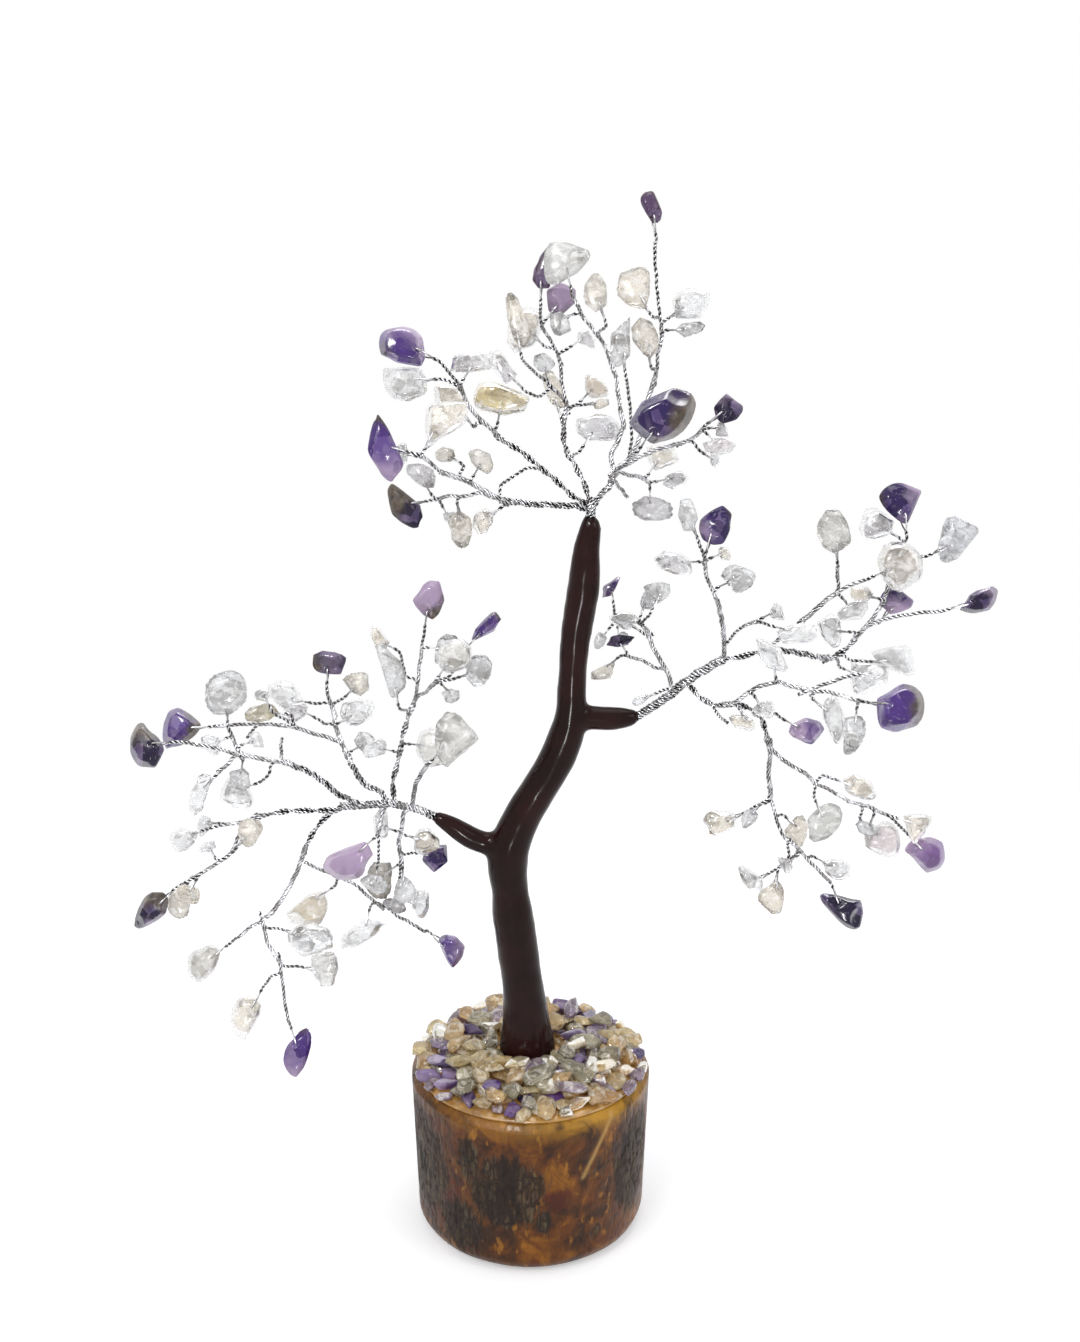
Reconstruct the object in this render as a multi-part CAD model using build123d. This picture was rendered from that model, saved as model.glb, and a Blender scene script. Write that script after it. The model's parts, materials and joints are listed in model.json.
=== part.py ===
"""A gemstone tree ornament: tumbled quartz and amethyst chips on twisted silver wire.

The origin is the centre of the base's underside. X is the viewer's right, Y goes away from the
viewer and Z is up. Lengths are millimetres. Names that end in _pixels hold places that were
picked by eye in the photograph; from_photo() turns them into places on the tree.
"""

from build123d import *

import math
import os
import random
from collections import namedtuple

import numpy as np
from scipy.spatial import ConvexHull

# Driving sizes of the stand
BASE_DIAMETER = 55.0
BASE_HEIGHT = 38.0
BASE_EDGE_RADIUS = 1.4
SOCKET_DEPTH = 14.0
SOCKET_END_GAP = 0.3
GLUE_THICKNESS = 1.0
GLUE_RIM = 0.8
FIT = 0.05

# Driving sizes of the tree: its rise goes from the base's top to the highest stone
TREE_RISE = 190.0
CROWN_REACH = 52.0
STRAND_DIAMETER = 0.4
EYE_WIRE_DIAMETER = 0.36
EYE_HOLE_DIAMETER = 0.8
EYE_BEND_RADIUS = 0.5
EYE_STANDOFF = 0.5
EYE_NECK = 0.9
EYE_END_GAP = 0.2
HOLE_EDGE = 2.2
BORE_LENGTH = 24.0
BALL_GAP = 0.3
TWIG_LEAD = 1.6
WIRE_GAP = 0.15
STONE_GAP = 0.15
LIMB_GAP = 0.9
DEPTH_STEP = 1.2
DEPTH_STEPS = 16

# Driving sizes of the chips in the glue
CHIP_LENGTH = 5.4
CHIP_GAP = 0.06
CHIP_RISE_STEP = 0.1

# Shapes as shares of the piece that they follow
WIRE_PACKING_share = 0.5
BASE_TAPER_share = 0.955
BASE_LUMP_share = 0.012
STONE_THICKNESS_share = 0.56
STONE_LUMP_share = 0.1
FRONT_RING_shares = (0.66, 0.40)
POLE_share = 0.5
SHOULDER_shares = (0.45, 0.7, 1.0)
RUN_share = 0.45
LONGEST_LOSS_share = 0.8
LEAN_share = 0.2
LEAST_PULL_share = 0.25
WIRE_START_share = 0.6
WIRE_END_share = 0.8
CHIP_RING_shares = ((0.86, 0.0), (1.0, 0.42), (0.62, 0.92))
CHIP_WIDTH_shares = (0.62, 0.86)
CHIP_LENGTH_shares = (0.66, 1.0)
CHIP_HEIGHT_shares = (0.42, 0.62)
VIOLET_CHIP_share = 0.74
SHRINK_shares = (1.0, 0.92, 0.84, 0.76, 0.68)

# The photograph's viewpoint, from the centre of the base's top, as shares of the tree's rise
VIEWPOINT_shares = (0.0121, -1.7526, 1.0368)
VIEW_PITCH = 17.2
FOCAL_pixels = 1638
VIEW_CENTRE_pixels = (540, 671)

# Counts, seeds and angles in degrees
LOG_SEED = 3
CHIP_SEED = 11
LEAST_TURN = 1.0
EDGE_ON = 1e-6
OUTLINE_POINTS = 7
LOG_POINTS = 20
CHIP_TRIES = 420

A = "amethyst"
Q = "quartz"
Stem = namedtuple("Stem", "strands depth_share route_pixels")
Gem = namedtuple("Gem", "kind centre_pixels size_pixels tilt route_pixels")
Branch = namedtuple("Branch", "limb stems gems")
Shape = namedtuple("Shape", "corners normals offsets")
Layer = namedtuple("Layer", "reach_share start_share rise_share size_share")

# The trunk and its two arms: centre u, centre v, width across
TRUNK_pixels = [
    (528, 1061, 56), (526.5, 1034, 51), (526, 1018, 46), (524, 995, 42), (520, 965, 41),
    (516, 935, 41), (511.5, 905, 39), (508, 875, 38), (509, 850, 40), (518, 825, 38),
    (532, 800, 37), (546, 778, 36), (560, 752, 35), (570, 722, 33), (571.5, 695, 29),
    (573.5, 655, 29), (577.5, 622, 31), (583, 592, 33), (585.5, 565, 30), (588, 540, 25),
    (590.5, 516, 13),
]
LEFT_ARM_pixels = [
    (512, 851, 20), (485, 843, 23), (463, 833, 22), (449, 824, 19), (440, 819, 15), (434, 816, 12),
]
RIGHT_ARM_pixels = [
    (570, 722, 22), (600, 718, 25), (622, 718, 21), (631, 717, 17), (638, 716, 12),
]

# Each limb's wire bundle, from the tip that it bends at
BUNDLES = {
    "top": Stem(16, 0.0, [(590.5, 516), (591, 498)]),
    "left": Stem(12, -0.04, [(434, 816), (420, 810), (405, 806), (390, 803), (375, 804),
                             (355, 806), (340, 806)]),
    "right": Stem(14, -0.06, [(638, 716), (655, 705), (670, 695), (685, 682), (705, 669),
                              (724, 659)]),
}

# Each branch: the stems with their strands and how far back they end, then the stones
BRANCHES = {
    "top_a": Branch("top", [
        Stem(10, -0.10, [(588, 505), (570, 495), (560, 483), (545, 472), (533, 461), (515, 447),
                         (500, 440), (493, 430)]),
        Stem(6, -0.20, [(493, 430), (480, 420), (470, 408), (463, 395), (460, 385)]),
    ], [
        Gem(A, (401, 345), (48, 41), 0, [(446, 369), (436, 360)]),
        Gem(Q, (405, 382), (44, 40), 0, [(438, 378)]),
        Gem(Q, (468, 372), (60, 18), 2, []),
        Gem(Q, (454, 402), (44, 36), -40, [(468, 418)]),
        Gem(Q, (503, 396), (76, 30), -8, [(499, 417)]),
    ]),
    "top_b": Branch("top", [
        Stem(12, -0.15, [(586, 507), (560, 505), (540, 505), (520, 503), (500, 500)]),
        Stem(7, -0.25, [(500, 500), (480, 488), (465, 480), (450, 475), (440, 472)]),
        Stem(4, -0.32, [(440, 472), (430, 462), (420, 455)]),
        Stem(5, -0.05, [(500, 500), (480, 492), (465, 497), (450, 495), (435, 500)]),
        Stem(2, -0.05, [(500, 497), (500, 485), (512, 477), (525, 469)]),
    ], [
        Gem(A, (383, 447), (72, 32), -70, [(408, 452)]),
        Gem(A, (407, 505), (52, 34), -50, []),
        Gem(Q, (428, 445), (46, 44), 0, []),
        Gem(Q, (403, 453), (28, 18), 90, []),
        Gem(Q, (446, 455), (28, 22), 0, [(460, 462)]),
        Gem(Q, (477, 470), (36, 26), -60, []),
        Gem(Q, (425, 484), (36, 30), 0, []),
        Gem(Q, (441, 504), (22, 14), -30, []),
        Gem(Q, (463, 528), (38, 28), -80, [(455, 495), (458, 508)]),
        Gem(Q, (485, 520), (32, 26), 60, [(497, 510)]),
    ]),
    "top_c": Branch("top", [
        Stem(9, 0.15, [(588, 503), (583, 480), (575, 465), (565, 450), (563, 430), (567, 405)]),
        Stem(5, 0.20, [(567, 405), (562, 385), (560, 360)]),
        Stem(3, 0.10, [(567, 402), (555, 390), (545, 380), (535, 373)]),
        Stem(3, 0.12, [(560, 360), (551, 340), (541, 327)]),
    ], [
        Gem(A, (542, 272), (52, 26), 70, [(541, 312)]),
        Gem(A, (556, 308), (34, 30), 0, []),
        Gem(Q, (514, 313), (66, 26), -75, [(523, 366)]),
        Gem(Q, (545, 347), (54, 44), 60, []),
        Gem(Q, (585, 337), (30, 20), -40, [(570, 347)]),
        Gem(Q, (548, 386), (26, 18), -20, []),
        Gem(Q, (562, 421), (48, 24), -65, []),
        Gem(Q, (595, 386), (28, 24), 90, [(580, 402)]),
        Gem(Q, (600, 403), (18, 16), 0, []),
        Gem(Q, (595, 428), (54, 32), 5, [(582, 448)]),
        Gem(Q, (500, 364), (42, 18), -60, [(540, 398), (520, 389)]),
    ]),
    "top_d": Branch("top", [
        Stem(12, 0.00, [(591, 505), (600, 496), (610, 486), (614, 472)]),
        Stem(8, 0.05, [(614, 472), (610, 455), (618, 440), (625, 427), (620, 410)]),
        Stem(6, 0.08, [(620, 410), (617, 380), (610, 360), (605, 345)]),
        Stem(4, 0.08, [(605, 345), (595, 332), (585, 320), (577, 305), (572, 295)]),
    ], [
        Gem(Q, (567, 271), (48, 42), 0, []),
        Gem(Q, (570, 316), (28, 24), 30, []),
        Gem(Q, (596, 295), (48, 26), 80, [(606, 328)]),
    ]),
    "top_e": Branch("top", [
        Stem(8, 0.10, [(614, 472), (628, 460), (640, 440), (646, 418), (648, 398), (656, 375)]),
        Stem(5, 0.12, [(656, 375), (658, 355), (662, 335), (661, 325)]),
        Stem(2, 0.10, [(661, 325), (657, 290), (655, 260), (655, 242)]),
        Stem(3, -0.05, [(630, 457), (632, 430), (629, 400), (628, 388)]),
    ], [
        Gem(A, (653, 219), (38, 23), -65, []),
        Gem(Q, (635, 290), (50, 34), 75, [(650, 318)]),
        Gem(Q, (622, 345), (50, 30), 70, [(624, 378)]),
        Gem(Q, (647, 333), (40, 26), 60, [(648, 365)]),
        Gem(Q, (692, 303), (42, 34), 30, [(670, 318)]),
        Gem(Q, (676, 330), (34, 16), 15, []),
    ]),
    "top_f": Branch("top", [
        Stem(4, -0.15, [(614, 472), (626, 464), (636, 452)]),
    ], [
        Gem(A, (663, 417), (72, 50), 28, [(643, 444)]),
    ]),
    "top_g": Branch("top", [
        Stem(6, 0.00, [(617, 472), (640, 457), (655, 450), (670, 446), (685, 442)]),
        Stem(4, -0.05, [(685, 442), (695, 437), (703, 428)]),
    ], [
        Gem(A, (718, 416), (32, 30), -20, []),
        Gem(Q, (714, 440), (36, 20), 5, []),
        Gem(Q, (719, 427), (22, 12), 90, []),
        Gem(Q, (714, 460), (18, 12), 90, [(698, 450)]),
    ]),
    "top_h": Branch("top", [
        Stem(6, 0.15, [(616, 473), (630, 475), (640, 477), (650, 483)]),
        Stem(4, 0.20, [(614, 478), (620, 488), (627, 497)]),
    ], [
        Gem(Q, (655, 464), (44, 36), 60, []),
        Gem(Q, (678, 477), (30, 22), 0, []),
        Gem(Q, (650, 507), (50, 26), -5, []),
    ]),
    "left_a": Branch("left", [
        Stem(6, -0.15, [(413, 804), (415, 785), (420, 775), (427, 765)]),
        Stem(8, 0.10, [(393, 801), (393, 778), (397, 765), (400, 752), (404, 730), (408, 718),
                       (413, 705), (416, 696)]),
        Stem(4, 0.12, [(416, 696), (418, 680), (420, 660), (422, 645)]),
        Stem(3, 0.05, [(416, 696), (425, 693), (432, 685), (437, 680)]),
    ], [
        Gem(A, (428, 601), (45, 31), 70, [(424, 632)]),
        Gem(A, (487, 625), (42, 20), 45, [(448, 678), (460, 663), (468, 646)]),
        Gem(Q, (434, 648), (32, 24), 60, []),
        Gem(Q, (447, 664), (36, 32), 0, []),
        Gem(Q, (478, 671), (34, 30), -45, [(452, 680)]),
        Gem(Q, (447, 690), (20, 16), 0, []),
        Gem(Q, (377, 640), (34, 16), -75, [(406, 677), (402, 663), (393, 648)]),
        Gem(Q, (393, 672), (58, 22), -75, [(400, 704)]),
        Gem(Q, (445, 747), (54, 48), -20, []),
        Gem(Q, (418, 745), (44, 34), 0, []),
        Gem(Q, (388, 750), (30, 18), 15, []),
    ]),
    "left_b": Branch("left", [
        Stem(9, 0.05, [(386, 803), (380, 790), (370, 788), (360, 780), (352, 765), (345, 750)]),
        Stem(6, 0.10, [(345, 750), (338, 735), (335, 722), (332, 706)]),
        Stem(3, 0.10, [(332, 706), (328, 697), (327, 688)]),
        Stem(5, -0.05, [(345, 750), (340, 742), (320, 735), (305, 731), (295, 727), (280, 725)]),
        Stem(3, -0.05, [(280, 725), (260, 724), (240, 724), (225, 726), (215, 726)]),
        Stem(2, -0.10, [(257, 725), (252, 731), (247, 738)]),
    ], [
        Gem(A, (328, 672), (36, 26), -5, []),
        Gem(Q, (358, 685), (28, 22), 0, [(345, 697)]),
        Gem(Q, (358, 713), (36, 28), 15, [(344, 721)]),
        Gem(Q, (357, 748), (24, 22), 0, []),
        Gem(Q, (284, 697), (40, 32), 20, [(322, 705)]),
        Gem(Q, (262, 713), (42, 18), 3, [(297, 714)]),
        Gem(Q, (262, 692), (22, 14), 0, [(271, 706)]),
        Gem(Q, (296, 708), (28, 22), -20, [(325, 725), (315, 718)]),
        Gem(A, (186, 729), (50, 38), 40, []),
    ]),
    "left_c": Branch("left", [
        Stem(9, -0.12, [(366, 806), (340, 796), (325, 783), (312, 773), (300, 768), (281, 761)]),
        Stem(6, -0.18, [(281, 761), (265, 760), (250, 756), (235, 754)]),
        Stem(3, -0.22, [(235, 754), (220, 749), (205, 746), (190, 743), (177, 742)]),
        Stem(3, -0.02, [(281, 761), (281, 750), (282, 738)]),
        Stem(3, -0.08, [(235, 754), (237, 748), (233, 738), (228, 727)]),
        Stem(3, -0.20, [(235, 756), (228, 765), (217, 772)]),
    ], [
        Gem(A, (150, 745), (48, 38), -65, []),
        Gem(Q, (227, 702), (44, 40), 30, []),
        Gem(Q, (226, 738), (26, 24), 0, []),
        Gem(Q, (244, 744), (20, 18), 0, []),
        Gem(Q, (237, 790), (36, 34), -20, [(270, 773), (258, 783)]),
        Gem(Q, (203, 790), (46, 20), 75, []),
        Gem(Q, (242, 767), (24, 20), -30, []),
    ]),
    "left_d": Branch("left", [
        Stem(8, -0.22, [(344, 807), (325, 811), (309, 810), (290, 811), (270, 813), (250, 821)]),
        Stem(4, -0.28, [(250, 821), (240, 832), (235, 845), (230, 855), (222, 860)]),
        Stem(3, -0.28, [(222, 860), (210, 868), (200, 874)]),
        Stem(3, -0.22, [(250, 821), (235, 823), (222, 825)]),
    ], [
        Gem(A, (149, 911), (46, 28), 45, [(190, 880), (177, 888)]),
        Gem(Q, (187, 835), (40, 28), 30, [(214, 827)]),
        Gem(Q, (207, 823), (16, 14), 0, []),
        Gem(Q, (233, 852), (28, 24), 60, []),
        Gem(Q, (214, 856), (20, 12), 10, []),
        Gem(Q, (193, 886), (34, 24), 10, []),
        Gem(Q, (177, 903), (30, 26), 60, [(190, 878)]),
    ]),
    "left_e": Branch("left", [
        Stem(8, -0.05, [(350, 806), (336, 810), (322, 820), (312, 833), (305, 848), (301, 860)]),
        Stem(6, -0.10, [(301, 860), (298, 870), (290, 885), (282, 900), (272, 912), (262, 921)]),
        Stem(3, -0.10, [(262, 921), (250, 927), (240, 936)]),
        Stem(5, -0.15, [(262, 921), (268, 945), (275, 955), (280, 963)]),
        Stem(3, -0.15, [(280, 963), (283, 985), (285, 1005), (288, 1020)]),
        Stem(4, 0.05, [(301, 860), (312, 866), (320, 869), (336, 876), (352, 882), (375, 902)]),
        Stem(3, 0.10, [(375, 902), (388, 908), (400, 918), (415, 925), (425, 932)]),
    ], [
        Gem(A, (299, 1052), (51, 28), 75, []),
        Gem(A, (449, 948), (38, 30), -70, []),
        Gem(Q, (203, 965), (40, 32), 60, [(229, 944)]),
        Gem(Q, (303, 907), (48, 34), 35, [(331, 888)]),
        Gem(Q, (310, 938), (52, 34), 0, [(273, 927)]),
        Gem(Q, (325, 972), (32, 28), 90, [(292, 965)]),
        Gem(Q, (246, 1019), (48, 32), 75, [(272, 975), (262, 988)]),
        Gem(Q, (364, 932), (52, 26), 20, [(369, 911)]),
        Gem(Q, (418, 902), (36, 24), 75, [(392, 901)]),
    ]),
    "left_f": Branch("left", [
        Stem(5, -0.12, [(383, 806), (381, 822), (378, 835)]),
        Stem(6, 0.05, [(405, 808), (402, 825), (398, 845), (402, 862)]),
    ], [
        Gem(A, (350, 859), (56, 38), 20, []),
        Gem(A, (435, 857), (30, 26), 30, [(415, 853)]),
        Gem(Q, (388, 872), (46, 26), 85, []),
        Gem(Q, (375, 885), (30, 22), 0, [(379, 852)]),
        Gem(Q, (393, 830), (30, 18), 90, []),
        Gem(Q, (416, 838), (34, 30), 30, []),
        Gem(Q, (404, 890), (34, 26), -30, []),
        Gem(Q, (394, 905), (26, 14), -20, []),
    ]),
    "right_a": Branch("right", [
        Stem(6, 0.35, [(674, 692), (668, 672), (657, 655), (650, 640), (645, 628)]),
        Stem(4, 0.40, [(645, 628), (638, 622), (625, 621), (615, 621)]),
        Stem(4, 0.30, [(666, 668), (655, 668), (643, 660), (630, 657)]),
    ], [
        Gem(A, (612, 590), (34, 14), 50, []),
        Gem(A, (623, 647), (26, 14), 15, []),
        Gem(Q, (660, 593), (28, 24), 20, [(650, 612)]),
        Gem(Q, (646, 600), (16, 14), 0, []),
        Gem(Q, (643, 633), (34, 22), 0, []),
        Gem(Q, (618, 634), (18, 12), 0, []),
        Gem(Q, (600, 640), (24, 18), 90, []),
        Gem(Q, (603, 671), (30, 24), 20, [(618, 657)]),
        Gem(Q, (640, 700), (20, 10), 0, []),
    ]),
    "right_b": Branch("right", [
        Stem(6, -0.30, [(724, 659), (724, 640), (722, 620), (717, 600)]),
        Stem(4, -0.36, [(717, 600), (712, 590), (706, 577), (705, 560)]),
    ], [
        Gem(A, (714, 529), (40, 36), 60, []),
        Gem(Q, (688, 515), (38, 32), -60, [(700, 547)]),
        Gem(Q, (716, 556), (22, 18), 0, []),
        Gem(Q, (692, 562), (42, 26), -15, []),
        Gem(Q, (727, 583), (44, 32), -40, []),
    ]),
    "right_c": Branch("right", [
        Stem(8, -0.10, [(724, 659), (740, 657), (755, 653), (765, 650), (778, 640), (790, 633),
                        (800, 622), (812, 613)]),
        Stem(6, -0.10, [(812, 613), (820, 605), (838, 592)]),
        Stem(3, -0.15, [(838, 592), (838, 580), (837, 567)]),
        Stem(3, -0.10, [(838, 592), (850, 585), (865, 580)]),
        Stem(2, -0.22, [(724, 648), (735, 632), (745, 625), (757, 621)]),
    ], [
        Gem(Q, (835, 537), (47, 34), -70, []),
        Gem(Q, (845, 601), (34, 22), 15, []),
        Gem(Q, (796, 632), (40, 24), 5, [(768, 625)]),
        Gem(Q, (768, 615), (26, 14), 90, []),
        Gem(Q, (898, 566), (50, 46), 45, []),
    ]),
    "right_d": Branch("right", [
        Stem(9, -0.02, [(767, 649), (785, 651), (800, 653), (815, 657), (832, 658)]),
        Stem(8, -0.02, [(832, 658), (842, 653), (850, 645), (858, 635), (865, 628)]),
        Stem(5, 0.05, [(865, 628), (873, 618), (880, 608), (886, 595), (890, 578), (898, 558),
                       (904, 542)]),
        Stem(3, -0.10, [(865, 628), (880, 620), (895, 617), (910, 614), (930, 612), (943, 611)]),
    ], [
        Gem(A, (899, 502), (50, 36), -45, []),
        Gem(A, (977, 600), (44, 26), 18, []),
        Gem(A, (880, 622), (38, 28), -5, []),
        Gem(Q, (887, 530), (42, 32), 70, []),
        Gem(Q, (959, 540), (52, 38), 60, [(922, 557), (932, 553)]),
        Gem(Q, (876, 598), (28, 18), 70, []),
        Gem(Q, (893, 662), (40, 36), 0, [(850, 661)]),
        Gem(Q, (868, 678), (40, 38), 0, [(842, 667)]),
        Gem(Q, (832, 631), (36, 22), 80, [(848, 632)]),
    ]),
    "right_e": Branch("right", [
        Stem(8, -0.25, [(687, 683), (700, 698), (715, 706), (735, 703)]),
        Stem(5, -0.32, [(735, 703), (745, 695), (755, 688), (765, 684), (778, 682), (795, 687),
                        (810, 690)]),
        Stem(3, -0.32, [(810, 690), (825, 684), (840, 679), (852, 675)]),
        Stem(3, -0.38, [(810, 690), (825, 692), (840, 694), (850, 699), (862, 701)]),
        Stem(2, -0.28, [(712, 707), (718, 715), (728, 723)]),
    ], [
        Gem(A, (891, 706), (50, 48), 0, []),
        Gem(Q, (775, 673), (52, 20), -40, []),
        Gem(Q, (758, 702), (22, 18), 0, []),
        Gem(Q, (745, 717), (24, 18), 0, []),
        Gem(Q, (834, 718), (52, 22), -75, [(817, 702)]),
        Gem(Q, (855, 724), (44, 26), 70, []),
        Gem(Q, (868, 673), (18, 14), 0, []),
    ]),
    "right_f": Branch("right", [
        Stem(8, -0.10, [(735, 703), (745, 707), (757, 713), (764, 725), (767, 740), (770, 749)]),
        Stem(6, -0.10, [(770, 749), (769, 765), (769, 780), (771, 798)]),
        Stem(5, -0.20, [(770, 749), (780, 757), (790, 765), (805, 773)]),
        Stem(4, -0.15, [(771, 798), (775, 815), (780, 830), (785, 838), (797, 847)]),
        Stem(4, -0.25, [(805, 773), (815, 783), (830, 790), (850, 802)]),
        Stem(3, -0.25, [(850, 802), (865, 805), (880, 812), (890, 816)]),
        Stem(3, -0.15, [(797, 847), (810, 862), (820, 872), (830, 882)]),
    ], [
        Gem(A, (806, 731), (36, 27), -5, [(775, 712), (785, 720)]),
        Gem(A, (926, 854), (46, 38), -30, [(900, 826)]),
        Gem(A, (842, 911), (50, 30), -40, []),
        Gem(Q, (860, 788), (38, 28), -20, [(822, 775)]),
        Gem(Q, (825, 823), (40, 32), 60, [(812, 792)]),
        Gem(Q, (718, 824), (36, 28), -10, [(755, 806), (742, 815)]),
        Gem(Q, (748, 817), (26, 18), 15, [(762, 803)]),
        Gem(Q, (799, 830), (28, 26), 0, [(785, 815)]),
        Gem(Q, (794, 859), (26, 14), -70, []),
        Gem(Q, (883, 840), (38, 34), 0, [(860, 818)]),
        Gem(Q, (873, 817), (24, 14), -20, []),
        Gem(Q, (911, 822), (26, 22), 0, []),
        Gem(Q, (837, 869), (30, 24), 10, [(812, 855)]),
        Gem(Q, (754, 881), (48, 24), -50, [(790, 860), (778, 872)]),
        Gem(Q, (773, 896), (46, 20), 85, [(788, 862)]),
    ]),
}

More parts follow.
